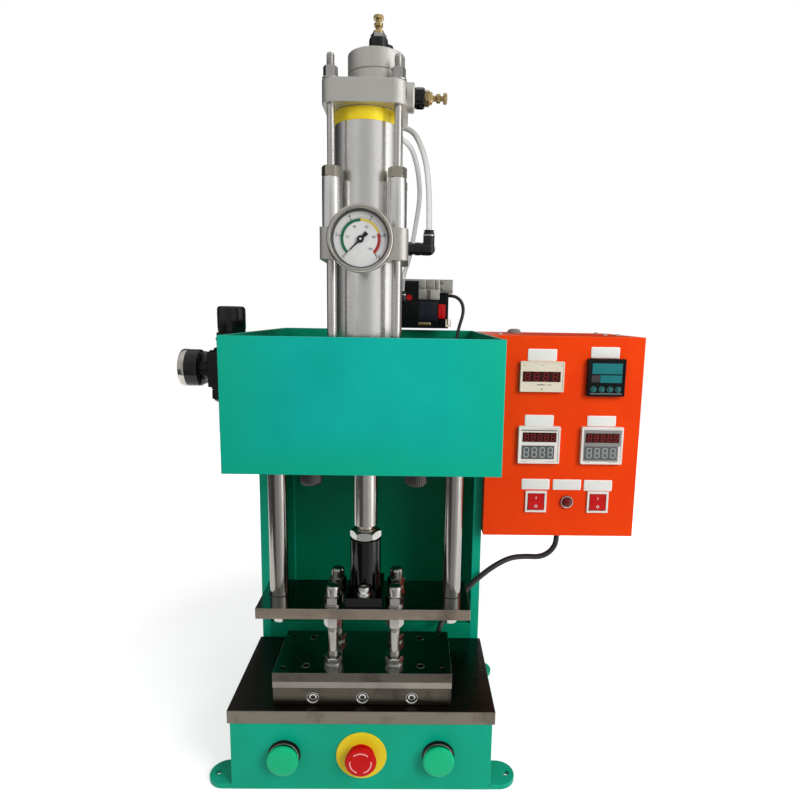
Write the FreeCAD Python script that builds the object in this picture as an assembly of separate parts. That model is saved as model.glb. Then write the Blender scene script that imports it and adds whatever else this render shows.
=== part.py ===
# Bench-top embossing press: an air-driven cylinder pushes a guided, electrically heated die block
# down on a steel bed. Millimetres, X to the right, Y to the back, Z up. The origin is the centre
# of the four foot bolt holes, on the plane that the machine stands on.
import FreeCAD, Part
import math
import os

Vector = FreeCAD.Vector
UP = Vector(0, 0, 1)
DOWN = Vector(0, 0, -1)
RIGHT = Vector(1, 0, 0)
LEFT = Vector(-1, 0, 0)
BACKWARD = Vector(0, 1, 0)
FORWARD = Vector(0, -1, 0)

# Fits between pieces
SLIDE_FIT = 0.05          # radial, between a shaft and the bore it slides or turns in
SCREW_FIT = 0.1           # radial, round a screw or stud in its hole
BUTTON_FIT = 0.3          # round a button or rocker in its frame
PANEL_FIT = 0.3           # round a cover or an instrument in its opening
DIE_GAP = 0.5             # left between the closed die block and the bed

# Base, bed and foot lugs
BODY_WIDTH = 300.0
BODY_DEPTH = 345.0
BASE_HEIGHT = 84.0
BASE_WALL = 6.0
DECK_THICK = 8.0
COVER_THICK = 3.0
COVER_RAISE = 1.5         # the bottom cover stays this far above the floor
CORNER_BLOCK = 20.0       # inside the base, for the bottom cover's screws
BED_THICK = 16.0
BED_SIDE_OVERHANG = 3.0
BED_FRONT_OVERHANG = 1.0
LUG_LENGTH = 40.0
LUG_REACH = 31.0
LUG_THICK = 6.0
LUG_HOLE_RADIUS = 4.0
LUG_HOLE_OUT = 21.0       # from the base's side to the hole
LUG_FRONT_SETBACK = 20.0  # from the base's front to the front lug's centre
LUG_PITCH = 216.0         # front lug to rear lug

# Column
COLUMN_SETBACK = 159.0    # from the base's front to the column's front edges
COLUMN_PLATE = 12.0
SILL_HEIGHT = 38.0
HEAD_BOTTOM = 376.0

# Head box
HEAD_HEIGHT = 147.0
HEAD_WALL = 5.0
FLOOR_THICK = 12.0
PRESS_SETBACK = 58.0      # from the machine's front to the axis of the ram

# Guide posts and their bushes
POST_SPACING = 206.0
POST_RADIUS = 11.0
POST_TOP_ABOVE_FLOOR = 52.0
BUSH_RADIUS = 16.0
BUSH_FLANGE_RADIUS = 23.0
BUSH_FLANGE_THICK = 8.0
BUSH_ABOVE_FLANGE = 22.0
POST_STUD_RADIUS = 4.0
POST_STUD_DEPTH = 25.0    # in the post
POST_NUT_FLATS = 13.0
POST_NUT_LENGTH = 24.0

# Moving plate, studs and die stack
STROKE = 75.0
PLATE_WIDTH = 246.0
PLATE_DEPTH = 77.0
PLATE_THICK = 12.5
DIE_WIDTH = 206.0
DIE_DEPTH = 94.0
DIE_FRONT_SETBACK = 10.0
BLOCK_HEIGHT = 21.0
BLOCK_INSET = 0.5         # the block is this much narrower at each side than the plates above it
INSULATION_THICK = 7.5
DIE_TOP_THICK = 11.0
DIE_TO_PLATE = 61.0       # clear height between the die's top plate and the moving plate
STUD_SPACING_X = 72.0
STUD_SPACING_Y = 50.0
STUD_RADIUS = 6.0
STUD_NUT_FLATS = 18.5
LOWER_NUT_HEIGHT = 8.0    # on the die's top plate
UNDER_NUT_HEIGHT = 13.5   # under the moving plate
UPPER_NUT_HEIGHT = 9.5    # over the moving plate
WASHER_RADIUS = 10.5
WASHER_THICK = 2.0
DOME_RADIUS = 9.2
DOME_HEIGHT = 12.5
DIE_HOLE_RADIUS = 3.3
DIE_HOLE_SPACING_X = 134.0
DIE_HOLE_SPACING_Y = 62.0
CORNER_HOLE_RADIUS = 2.5
CORNER_HOLE_SPACING_X = 186.0
CORNER_HOLE_SPACING_Y = 72.0
CLAMP_SCREW_SPACING = 57.0
CLAMP_SCREW_UP = 8.5      # from the block's underside
CLAMP_SCREW_RADIUS = 5.0
CLAMP_SCREW_SOCKET_FLATS = 5.0
CLAMP_RECESS_RADIUS = 7.0
CLAMP_RECESS_DEPTH = 3.0
CLAMP_HEAD_SUNK = 2.0     # the screws' heads below the block's front
CLAMP_SCREW_LENGTH = 16.0
HEATER_RADIUS = 5.0
HEATER_LENGTH = 180.0
HEATER_SETBACKS = (34.0, 70.0)   # from the block's front to each cartridge

# Ram and its coupling
ROD_RADIUS = 14.0
ROD_HOLE_ROOM = 2.0       # round the rod in the head's floor
NECK_RADIUS = 8.0
NECK_LENGTH = 16.5
JAM_NUT_FLATS = 32.0
JAM_NUT_HEIGHT = 10.5
COUPLING_RADIUS = 18.0
COUPLING_HEIGHT = 60.5
COUPLING_ROUND = 1.0      # of its upper rim
COUPLING_FLANGE_WIDTH = 42.0
COUPLING_FLANGE_DEPTH = 70.0
COUPLING_FLANGE_THICK = 11.4
COUPLING_SCREW_RADIUS = 4.0
COUPLING_SCREW_SPACING = 52.0
COUPLING_SCREW_HEAD_RADIUS = 6.4
COUPLING_SCREW_HEAD_HEIGHT = 8.5
COUPLING_SCREW_SOCKET_FLATS = 6.0
COUPLING_WASHER_RADIUS = 8.0
PISTON_THICK = 20.0
PISTON_END_GAP = 6.0      # under the ram piston when the die rests on the bed

# Cylinder
BASE_FLANGE_WIDTH = 146.0
BASE_FLANGE_THICK = 26.0
FLANGE_BOLT_SPACING_X = 116.0
FLANGE_BOLT_RADIUS = 8.0
FLANGE_BOLT_HEAD_RADIUS = 12.0
FLANGE_BOLT_HEAD_HEIGHT = 16.0
FLANGE_BOLT_SOCKET_FLATS = 14.0
FLANGE_BOLT_ENGAGED = 20.0   # of its thread in the flange
FLANGE_EDGE = 12.0        # from a tie rod's axis to the edges of the base and middle flanges
FLANGE_CORNER = 10.0
TOP_FLANGE_EDGE = 9.5     # the same in the top flange
TOP_FLANGE_THICK = 23.0
TOP_FLANGE_CORNER = 15.0
MIDDLE_FLANGE_THICK = 32.5
LOWER_BARREL_LENGTH = 188.5
UPPER_BARREL_LENGTH = 121.0
BARREL_RADIUS = 34.0
LOWER_BARREL_WALL = 6.0
UPPER_BARREL_WALL = 3.0
LOWER_TIE_RADIUS = 5.2
UPPER_TIE_RADIUS = 4.0
SLEEVE_RADIUS = 9.5
SLEEVE_LENGTH = 50.0
COLLAR_FLATS = 17.0
COLLAR_HEIGHT = 11.0
TIE_NUT_FLATS = 13.0
TIE_NUT_HEIGHT = 12.0
TIE_STUD_ABOVE_NUT = 13.0
TIE_THREAD_DEPTH = 14.0   # of a tie rod in a flange
CAP_RADIUS = 30.0
CAP_HEIGHT = 34.5
CAP_OFFSET = 10.0         # of the cap to the right of the cylinder's axis
THROTTLE_OFFSET = 2.0     # of the throttle to the right of the cap's axis
CAP_GROOVE_UP = 14.0
CAP_GROOVE = 1.2
PLUNGER_RADIUS = 10.0
PLUNGER_LENGTH = 90.0
BOOSTER_PISTON_THICK = 16.0
BOOSTER_END_GAP = 5.0
BOOSTER_STROKE = 60.0

# Pressure gauge in the middle flange
GAUGE_RADIUS = 31.5
GAUGE_DEPTH = 25.0
GAUGE_WALL = 3.5
GAUGE_DIAL_SETBACK = 8.0
GAUGE_DIAL_THICK = 1.2
GAUGE_STEM_FLATS = 17.0
GAUGE_STANDOFF = 17.0     # from the flange to the case
GAUGE_STEM_RADIUS = 6.5
NEEDLE_LENGTH = 21.0
NEEDLE_TAIL = 9.0
NEEDLE_WIDTH = 2.2
NEEDLE_THICK = 0.8
NEEDLE_HUB_RADIUS = 3.4
NEEDLE_PIN_RADIUS = 1.0
GAUGE_ZERO = -135.0       # degrees from twelve o'clock, clockwise positive
GAUGE_SWEEP = 270.0

# Throttles and push-in fittings
THROTTLE_COLLAR_RADIUS = 11.0
THROTTLE_COLLAR_HEIGHT = 8.0
THROTTLE_BODY_RADIUS = 10.0
THROTTLE_BODY_HEIGHT = 9.5
THROTTLE_CONE_RADIUS = 8.0
THROTTLE_CONE_TOP_RADIUS = 6.0
THROTTLE_CONE_HEIGHT = 8.0
THROTTLE_STUB_RADIUS = 6.0
THROTTLE_SCREW_RADIUS = 3.0
THROTTLE_SCREW_SHANK = 11.0
THROTTLE_SCREW_DEPTH = 12.0
THROTTLE_HEAD_RADIUS = 5.4
THROTTLE_HEAD_HEIGHT = 4.2
THROTTLE_ARM_RADIUS = 4.5
THROTTLE_ARM_LENGTH = 18.0
SIDE_HEX_FLATS = 28.0
SIDE_HEX_LENGTH = 7.0
SIDE_PORT_FORWARD = 21.0  # of the side throttle's port in front of the cylinder's axis
TUBE_RADIUS = 3.0
PUSH_IN_RADIUS = 6.2
PUSH_IN_LENGTH = 14.0
ELBOW_UP = 20.0           # from the elbow's axis to its mouth
ELBOW_OUT = 22.5          # from the middle flange to the elbow's upright
ELBOW_BODY_RADIUS = 7.0
ELBOW_THREAD_RADIUS = 6.0
REAR_BLOCK_WIDTH = 26.0
REAR_BLOCK_DEPTH = 36.0
REAR_BLOCK_HEIGHT = 30.0
REAR_MOUTH_X = 6.0
REAR_MOUTH_LIFT = 2.0     # of the rear mouth above the top flange's underside
REAR_MOUTHS_BETWEEN = 13.1   # from the front mouth back to the rear one
REAR_BLOCK_BELOW = 9.0    # of the rear block's underside below the top flange

# Solenoid valve behind the head
VALVE_LEFT = 28.0
VALVE_WIDTH = 84.0
VALVE_DEPTH = 38.0
VALVE_HEIGHT = 72.0
VALVE_FRONT_SETBACK = 286.0
VALVE_BRACKET_THICK = 4.0
VALVE_BRACKET_WIDTH = 44.0
VALVE_BRACKET_DROP = 45.0
VALVE_BODY_WIDTH = 64.0
VALVE_BLOCK_LEFT = 33.0   # from the valve's left side to the silver block on its front
VALVE_BLOCK_WIDTH = 31.0
VALVE_BLOCK_HEIGHT = 30.0
VALVE_BLOCK_PROUD = 4.0
VALVE_END_HEIGHT = 20.0   # of the silver block at the valve's right end
VALVE_PLUG_WIDTH = 14.0
VALVE_PORT_LEFT = 9.0     # from the valve's left side to the air elbow
VALVE_PORT_DROP = 31.0    # of the elbow's axis below the valve's top
VALVE_PORT_OUT = 9.0
VALVE_PORT_UP = 13.0
LEAD_RADIUS = 2.5
LEAD_DROP = 3.0           # of the lead's axis below the silver end block
LEAD_FROM_BACK = 74.0     # from the machine's back to where the lead enters the head's wall
LEAD_ENTRY_DROP = 94.0    # from the head's top to the same place

# Air regulator on the left of the head
REGULATOR_SETBACK = 154.0
REGULATOR_FROM_WALL = 28.5
REGULATOR_WIDTH = 52.0
REGULATOR_HEIGHT = 44.0
REGULATOR_CENTRE_HEIGHT = 475.0
REGULATOR_BRACKET_HEIGHT = 30.0
BONNET_RADIUS = 19.0
BONNET_HEIGHT = 23.5
KNOB_RADIUS = 17.7
KNOB_ROUND = 2.0          # of its upper rim
KNOB_HEIGHT = 33.0
KNOB_STEM_RADIUS = 6.0
KNOB_BORE_DEPTH = 20.0
KNOB_SPINDLE_GAP = 2.0    # over the spindle's end in the knob
REGULATOR_CORNER = 6.0
BOWL_RADIUS = 26.0
BOWL_HEIGHT = 21.5
SIDE_GAUGE_RADIUS = 24.0
SIDE_GAUGE_DEPTH = 25.0
SIDE_GAUGE_STANDOFF = 12.5
SIDE_GAUGE_ADAPTER_RADIUS = 16.0
SIDE_DIAL_SETBACK = 5.0
SIDE_NEEDLE_LENGTH = 14.0
INLET_RADIUS = 6.0        # air inlet, tapped
INLET_DEPTH = 12.0
PORT_RADIUS = 10.0
PORT_LENGTH = 6.0

# Control box on the right of the head
BOX_WIDTH = 200.0
BOX_DEPTH = 165.0
BOX_HEIGHT = 265.0
BOX_SETBACK = 142.0
BOX_SHEET = 2.0
LID_FLANGE = 12.0
PANEL_MIDDLE_X = 9.5      # of the middle row of instruments, from the box's middle
PANEL_COLUMN_PITCH = 41.0
METER_ROW_DROP = 51.5     # each row's centre below the box's top
TIMER_ROW_DROP = 140.5
SWITCH_ROW_DROP = 217.5
CONTROLLER_SIZE = 48.0
CONTROLLER_BODY = 44.0
CONTROLLER_BEZEL = 7.0
COUNTER_WIDTH = 60.0
COUNTER_HEIGHT = 39.0
TIMER_WIDTH = 59.0
TIMER_HEIGHT = 50.0
METER_PROUD = 6.0
METER_BODY_DEPTH = 70.0
METER_BODY_INSET = 4.0
KEY_RADIUS = 2.2
KEY_PROUD = 0.9
KEY_DEPTH = 3.0
KEY_PITCH = 10.6
KEY_DROP = 15.0           # of the keys below the controller's centre
KEY_TRAVEL = 0.5
ROCKER_WIDTH = 21.0
ROCKER_HEIGHT = 22.0
ROCKER_FRAME = 3.5
ROCKER_FRAME_PROUD = 2.5
ROCKER_BODY_DEPTH = 26.0
ROCKER_PROUD = 4.5
ROCKER_TURN = 10.0        # degrees from one end in to the other
ROCKER_HOLLOW = 8.0       # degrees of each half of the face from flat
ROCKER_END_RELIEF = 0.8   # of the end that swings past the frame
ROCKER_SHOULDER = 0.78    # part of the half height at the pivot
ROCKER_PIN_RADIUS = 1.2
ROCKER_PIN_LENGTH = 1.6
LAMP_RADIUS = 8.5
LAMP_LENS_RADIUS = 6.5
LAMP_PROUD = 3.0
LAMP_BODY_RADIUS = 5.0
LAMP_BODY_DEPTH = 25.0
GLAND_FLATS = 20.0
GLAND_HEX_HEIGHT = 5.0
GLAND_NOSE_RADIUS = 8.5
GLAND_NOSE_HEIGHT = 6.0
GLAND_LIP_RADIUS = 5.25
GLAND_THREAD_RADIUS = 7.5
GLAND_THREAD_LENGTH = 8.0
CABLE_RADIUS = 3.75
GLAND_X = 107.0           # from the box's left side
GLAND_SETBACK = 32.0      # from the box's front
GROMMET_X = 50.0
GROMMET_SETBACK = 112.0
GROMMET_RADIUS = 11.0
GROMMET_HEIGHT = 6.0
# Inside the box: left side from the middle, height over the bottom, width, depth, height
RELAY = (-70.0, 120.0, 58.0, 28.0, 45.0)
TERMINAL_STRIP = (-70.0, 50.0, 140.0, 22.0, 28.0)
POWER_SUPPLY = (10.0, 110.0, 60.0, 40.0, 90.0)
CABLE_EXIT_X = 92.0       # of the lead's end at the die block
CABLE_BOSS_FLATS = 16.0
CABLE_BOSS_LENGTH = 12.0

# Buttons on the base's front
BUTTON_HEIGHT = 44.5
BUTTON_FROM_SIDE = 61.5   # from the base's side to a run button's axis
BUTTON_HEAD_RADIUS = 18.0
BUTTON_HEAD_THICK = 6.5
BUTTON_STEM_RADIUS = 7.0
BUTTON_TRAVEL = 3.5
BUTTON_COLLAR_RADIUS = 17.5
BUTTON_COLLAR_THICK = 4.0
BUTTON_BARREL_RADIUS = 11.0
BUTTON_BARREL_LENGTH = 26.0
CONTACT_SIZE = 30.0
CONTACT_DEPTH = 34.0
ESTOP_PLATE_RADIUS = 29.0
ESTOP_PLATE_THICK = 1.5
ESTOP_COLLAR_RADIUS = 15.0

# Places worked out from the sizes above
FRONT = -(LUG_FRONT_SETBACK + LUG_PITCH / 2)
BACK = FRONT + BODY_DEPTH
SIDE = BODY_WIDTH / 2
BUTTON_SPACING = BODY_WIDTH - 2 * BUTTON_FROM_SIDE
LOWER_BORE_RADIUS = BARREL_RADIUS - LOWER_BARREL_WALL
UPPER_BORE_RADIUS = BARREL_RADIUS - UPPER_BARREL_WALL
TIE_SPACING = 2 * BARREL_RADIUS
FLANGE_SIZE = TIE_SPACING + 2 * FLANGE_EDGE
TOP_FLANGE_SIZE = TIE_SPACING + 2 * TOP_FLANGE_EDGE
PRESS_Y = FRONT + PRESS_SETBACK
BED_TOP = BASE_HEIGHT + BED_THICK
COLUMN_FRONT = FRONT + COLUMN_SETBACK
HEAD_TOP = HEAD_BOTTOM + HEAD_HEIGHT
FLOOR_TOP = HEAD_BOTTOM + FLOOR_THICK
BLOCK_BOTTOM = BED_TOP + DIE_GAP
INSULATION_BOTTOM = BLOCK_BOTTOM + BLOCK_HEIGHT
DIE_TOP_BOTTOM = INSULATION_BOTTOM + INSULATION_THICK
DIE_TOP = DIE_TOP_BOTTOM + DIE_TOP_THICK
PLATE_BOTTOM = DIE_TOP + DIE_TO_PLATE
PLATE_TOP = PLATE_BOTTOM + PLATE_THICK
DIE_FRONT = FRONT + DIE_FRONT_SETBACK
DIE_BACK = DIE_FRONT + DIE_DEPTH
DIE_Y = (DIE_FRONT + DIE_BACK) / 2
COUPLING_BOTTOM = PLATE_TOP + COUPLING_FLANGE_THICK
COUPLING_TOP = COUPLING_BOTTOM + COUPLING_HEIGHT
ROD_BOTTOM = COUPLING_TOP + NECK_LENGTH
CYLINDER_FLOOR = FLOOR_TOP + BASE_FLANGE_THICK
MIDDLE_BOTTOM = CYLINDER_FLOOR + LOWER_BARREL_LENGTH
MIDDLE_TOP = MIDDLE_BOTTOM + MIDDLE_FLANGE_THICK
TOP_BOTTOM = MIDDLE_TOP + UPPER_BARREL_LENGTH
TOP_TOP = TOP_BOTTOM + TOP_FLANGE_THICK
CAP_TOP = TOP_TOP + CAP_HEIGHT
PISTON_BOTTOM = CYLINDER_FLOOR + PISTON_END_GAP
PISTON_TOP = PISTON_BOTTOM + PISTON_THICK
GAUGE_Z = (MIDDLE_BOTTOM + MIDDLE_TOP) / 2
GAUGE_BACK = PRESS_Y - FLANGE_SIZE / 2 - GAUGE_STANDOFF
GAUGE_FRONT = GAUGE_BACK - GAUGE_DEPTH
DIAL_FRONT = GAUGE_FRONT + GAUGE_DIAL_SETBACK
BOX_LEFT = SIDE
BOX_FRONT = FRONT + BOX_SETBACK
BOX_BACK = BOX_FRONT + BOX_DEPTH
BOX_TOP = HEAD_TOP
BOX_BOTTOM = BOX_TOP - BOX_HEIGHT
PANEL_X = BOX_LEFT + BOX_WIDTH / 2 + PANEL_MIDDLE_X
METER_Z = BOX_TOP - METER_ROW_DROP
TIMER_Z = BOX_TOP - TIMER_ROW_DROP
SWITCH_Z = BOX_TOP - SWITCH_ROW_DROP
GLAND_CENTRE = Vector(BOX_LEFT + GLAND_X, BOX_FRONT + GLAND_SETBACK, BOX_BOTTOM)
GLAND_MOUTH_Z = BOX_BOTTOM - GLAND_HEX_HEIGHT - GLAND_NOSE_HEIGHT
CABLE_END_Z = BLOCK_BOTTOM + BLOCK_HEIGHT + INSULATION_THICK / 2
REGULATOR_X = -SIDE - REGULATOR_FROM_WALL
REGULATOR_Y = FRONT + REGULATOR_SETBACK
VALVE_FRONT = FRONT + VALVE_FRONT_SETBACK
VALVE_BOTTOM = HEAD_TOP + VALVE_BRACKET_THICK
ELBOW_X = FLANGE_SIZE / 2 + ELBOW_OUT


def box(x0, x1, y0, y1, z0, z1):
    """A block between two opposite corners."""
    return Part.makeBox(x1 - x0, y1 - y0, z1 - z0, Vector(x0, y0, z0))


def centred_box(x, y, wide, deep, z0, z1):
    """A block centred on a vertical axis."""
    return box(x - wide / 2, x + wide / 2, y - deep / 2, y + deep / 2, z0, z1)


def rod(radius, start, direction, length):
    """A round bar from a point, along a direction."""
    return Part.makeCylinder(radius, length, start, direction)


def hexagon(flats, start, direction, length):
    """A hexagonal bar of a given width over its flats, also used to cut sockets."""
    corner = flats / math.sqrt(3)
    side = Vector(0, 0, 1) if abs(direction.z) < 0.5 else Vector(1, 0, 0)
    across = direction.cross(side)
    points = []
    for step in range(7):
        turn = math.radians(60 * step)
        points.append(start + side * (corner * math.cos(turn)) + across * (corner * math.sin(turn)))
    face = Part.Face(Part.makePolygon(points))
    return face.extrude(direction * length)


def rounded_block(x, y, wide, deep, z0, z1, corner):
    """An upright block with its four upright edges rounded."""
    block = centred_box(x, y, wide, deep, z0, z1)
    upright = [edge for edge in block.Edges if abs(edge.tangentAt(edge.FirstParameter).z) > 0.99]
    return block.makeFillet(corner, upright)


def soften_rim(solid, radius, z):
    """Rounds the edges of a solid that lie at one height."""
    rim = [edge for edge in solid.Edges
           if abs(edge.BoundBox.ZMin - z) < 1e-6 and edge.BoundBox.ZLength < 1e-6]
    return solid.makeFillet(radius, rim)


def drilled(solid, holes):
    """A solid with bars cut out of it."""
    for hole in holes:
        solid = solid.cut(hole)
    return solid


def corners(spacing_x, spacing_y):
    """The four corners of a rectangle, as offsets from its centre."""
    return [(sx * spacing_x / 2, sy * spacing_y / 2) for sx in (-1, 1) for sy in (-1, 1)]


def polar_point(centre, radius, clockwise_degrees, y):
    """A point on an upright dial that faces the front."""
    turn = math.radians(clockwise_degrees)
    return Vector(centre.x + radius * math.sin(turn), y, centre.z + radius * math.cos(turn))


def route_tube(name, radius, points):
    """A round tube along straight runs joined by arcs. It prints the arcs' radii and its volume's error."""
    edges = []
    radii = []
    start = points[0]
    length = 0.0
    for before, corner, after in zip(points, points[1:], points[2:]):
        back_along = (before - corner).normalize()
        on_along = (after - corner).normalize()
        turn = math.pi - back_along.getAngle(on_along)
        shorter = min(before.distanceToPoint(corner), corner.distanceToPoint(after))
        bend = 0.45 * shorter / math.tan(turn / 2)
        reach = 0.45 * shorter
        enter = corner + back_along * reach
        leave = corner + on_along * reach
        middle_way = (back_along + on_along).normalize()
        middle = corner + middle_way * (bend / math.cos(turn / 2) - bend)
        edges.append(Part.LineSegment(start, enter).toShape())
        edges.append(Part.Arc(enter, middle, leave).toShape())
        length += start.distanceToPoint(enter) + bend * turn
        radii.append(bend)
        start = leave
    edges.append(Part.LineSegment(start, points[-1]).toShape())
    length += start.distanceToPoint(points[-1])
    path = Part.Wire(edges)
    first_way = (points[1] - points[0]).normalize()
    ring = Part.Wire(Part.Circle(points[0], first_way, radius).toShape())
    tube = path.makePipeShell([ring], True, False)
    error = tube.Volume / (math.pi * radius ** 2 * length) - 1
    print(name, "length", round(length, 1), "volume error", round(error, 5), "valid", tube.isValid())
    print("  radii", [round(bend, 1) for bend in radii])
    return tube


def base_box():
    """Welded box, open below, with three button holes in front and a block in each corner for the cover."""
    shell = box(-SIDE, SIDE, FRONT, BACK, 0, BASE_HEIGHT)
    hollow = box(-SIDE + BASE_WALL, SIDE - BASE_WALL, FRONT + BASE_WALL, BACK - BASE_WALL,
                 0, BASE_HEIGHT - DECK_THICK)
    holes = [rod(BUTTON_BARREL_RADIUS + SCREW_FIT, Vector(x, FRONT, BUTTON_HEIGHT), BACKWARD, BASE_WALL)
             for x in (-BUTTON_SPACING / 2, 0, BUTTON_SPACING / 2)]
    shell = drilled(shell, [hollow] + holes)
    z0 = COVER_RAISE + COVER_THICK
    z1 = z0 + CORNER_BLOCK / 2
    for x0 in (-SIDE + BASE_WALL, SIDE - BASE_WALL - CORNER_BLOCK):
        for y0 in (FRONT + BASE_WALL, BACK - BASE_WALL - CORNER_BLOCK):
            shell = shell.fuse(box(x0, x0 + CORNER_BLOCK, y0, y0 + CORNER_BLOCK, z0, z1))
    return shell.removeSplitter()


def mounting_lugs():
    """Four D-shaped ears welded to the base's sides, each with one bolt hole."""
    lugs = []
    half = LUG_LENGTH / 2
    straight = LUG_REACH - half
    for side in (-1, 1):
        for y in (-LUG_PITCH / 2, LUG_PITCH / 2):
            root = sorted((side * SIDE, side * (SIDE + straight)))
            ear = box(root[0], root[1], y - half, y + half, 0, LUG_THICK)
            ear = ear.fuse(rod(half, Vector(side * (SIDE + straight), y, 0), UP, LUG_THICK))
            ear = ear.cut(box(*sorted((0, side * SIDE)), y - half, y + half, 0, LUG_THICK))
            hole = rod(LUG_HOLE_RADIUS, Vector(side * (SIDE + LUG_HOLE_OUT), y, 0), UP, LUG_THICK)
            lugs.append(ear.cut(hole).removeSplitter())
    return lugs


def bottom_cover():
    """Sheet that closes the base from below."""
    inside = BASE_WALL + PANEL_FIT
    return box(-SIDE + inside, SIDE - inside, FRONT + inside, BACK - inside,
               COVER_RAISE, COVER_RAISE + COVER_THICK)


def bed_plate():
    """Ground steel bed in front of the column."""
    return box(-SIDE - BED_SIDE_OVERHANG, SIDE + BED_SIDE_OVERHANG, FRONT - BED_FRONT_OVERHANG,
               COLUMN_FRONT, BASE_HEIGHT, BED_TOP)


def column():
    """Two side plates, the back plate and the low sill between them."""
    inner = SIDE - COLUMN_PLATE
    left = box(-SIDE, -inner, COLUMN_FRONT, BACK, BASE_HEIGHT, HEAD_BOTTOM)
    right = box(inner, SIDE, COLUMN_FRONT, BACK, BASE_HEIGHT, HEAD_BOTTOM)
    back = box(-inner, inner, BACK - COLUMN_PLATE, BACK, BASE_HEIGHT, HEAD_BOTTOM)
    sill = box(-inner, inner, COLUMN_FRONT, COLUMN_FRONT + COLUMN_PLATE,
               BASE_HEIGHT, BASE_HEIGHT + SILL_HEIGHT)
    return [left, right, back, sill]


def head_walls():
    """Front, side and back panels of the open-topped head box."""
    inner = SIDE - HEAD_WALL
    front = box(-SIDE, SIDE, FRONT, FRONT + HEAD_WALL, HEAD_BOTTOM, HEAD_TOP)
    back = box(-SIDE, SIDE, BACK - HEAD_WALL, BACK, HEAD_BOTTOM, HEAD_TOP)
    left = box(-SIDE, -inner, FRONT + HEAD_WALL, BACK - HEAD_WALL, HEAD_BOTTOM, HEAD_TOP)
    right = box(inner, SIDE, FRONT + HEAD_WALL, BACK - HEAD_WALL, HEAD_BOTTOM, HEAD_TOP)
    return [front, back, left, right]


def head_floor_plate():
    """Thick floor of the head, bored for the ram, the two bushes and the four flange bolts."""
    inner = SIDE - HEAD_WALL
    plate = box(-inner, inner, FRONT + HEAD_WALL, BACK - HEAD_WALL, HEAD_BOTTOM, FLOOR_TOP)
    holes = [rod(ROD_RADIUS + ROD_HOLE_ROOM, Vector(0, PRESS_Y, HEAD_BOTTOM), UP, FLOOR_THICK)]
    for x in (-POST_SPACING / 2, POST_SPACING / 2):
        holes.append(rod(BUSH_RADIUS + SCREW_FIT, Vector(x, PRESS_Y, HEAD_BOTTOM), UP, FLOOR_THICK))
    for x, y in corners(FLANGE_BOLT_SPACING_X, TIE_SPACING):
        centre = Vector(x, PRESS_Y + y, HEAD_BOTTOM)
        holes.append(rod(FLANGE_BOLT_RADIUS + SCREW_FIT, centre, UP, FLOOR_THICK))
    return drilled(plate, holes)


def guide_bushes():
    """Flanged bushes that the guide posts slide in."""
    bushes = []
    for x in (-POST_SPACING / 2, POST_SPACING / 2):
        foot = Vector(x, PRESS_Y, HEAD_BOTTOM)
        length = FLOOR_THICK + BUSH_FLANGE_THICK + BUSH_ABOVE_FLANGE
        body = rod(BUSH_RADIUS, foot, UP, length)
        body = body.fuse(rod(BUSH_FLANGE_RADIUS, Vector(x, PRESS_Y, FLOOR_TOP), UP, BUSH_FLANGE_THICK))
        bushes.append(body.cut(rod(POST_RADIUS + SLIDE_FIT, foot, UP, length)))
    return bushes


def tie_points():
    """Centres of the four tie rods, in plan."""
    return [(x, PRESS_Y + y) for x, y in corners(TIE_SPACING, TIE_SPACING)]


def cylinder_base_flange():
    """Wide bottom flange with the ram's bore, the bolts' threads and the tie rods' threads."""
    wide = BASE_FLANGE_WIDTH
    block = rounded_block(0, PRESS_Y, wide, FLANGE_SIZE, FLOOR_TOP, CYLINDER_FLOOR, FLANGE_CORNER)
    holes = [rod(ROD_RADIUS + SLIDE_FIT, Vector(0, PRESS_Y, FLOOR_TOP), UP, BASE_FLANGE_THICK)]
    for x, y in corners(FLANGE_BOLT_SPACING_X, TIE_SPACING):
        foot = Vector(x, PRESS_Y + y, FLOOR_TOP)
        holes.append(rod(FLANGE_BOLT_RADIUS + SCREW_FIT, foot, UP, FLANGE_BOLT_ENGAGED))
    for x, y in tie_points():
        holes.append(rod(LOWER_TIE_RADIUS + SCREW_FIT, Vector(x, y, CYLINDER_FLOOR), DOWN, TIE_THREAD_DEPTH))
    return drilled(block, holes)


def barrel(bottom, length, bore):
    """A plain cylinder tube."""
    tube = rod(BARREL_RADIUS, Vector(0, PRESS_Y, bottom), UP, length)
    return tube.cut(rod(bore, Vector(0, PRESS_Y, bottom), UP, length))


def middle_flange():
    """Square block between the barrels, bored for the plunger, with the gauge's and the elbow's ports."""
    block = rounded_block(0, PRESS_Y, FLANGE_SIZE, FLANGE_SIZE, MIDDLE_BOTTOM, MIDDLE_TOP, FLANGE_CORNER)
    holes = [rod(PLUNGER_RADIUS + SLIDE_FIT, Vector(0, PRESS_Y, MIDDLE_BOTTOM), UP, MIDDLE_FLANGE_THICK)]
    for x, y in tie_points():
        holes.append(rod(LOWER_TIE_RADIUS + SCREW_FIT, Vector(x, y, MIDDLE_BOTTOM), UP, TIE_THREAD_DEPTH))
        holes.append(rod(UPPER_TIE_RADIUS + SCREW_FIT, Vector(x, y, MIDDLE_TOP), DOWN, TIE_THREAD_DEPTH))
    front_face = Vector(0, PRESS_Y - FLANGE_SIZE / 2, GAUGE_Z)
    right_face = Vector(FLANGE_SIZE / 2, PRESS_Y, GAUGE_Z)
    holes.append(rod(GAUGE_STEM_RADIUS + SCREW_FIT, front_face, BACKWARD, TIE_THREAD_DEPTH))
    holes.append(rod(ELBOW_THREAD_RADIUS + SCREW_FIT, right_face, LEFT, TIE_THREAD_DEPTH))
    return drilled(block, holes)


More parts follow.
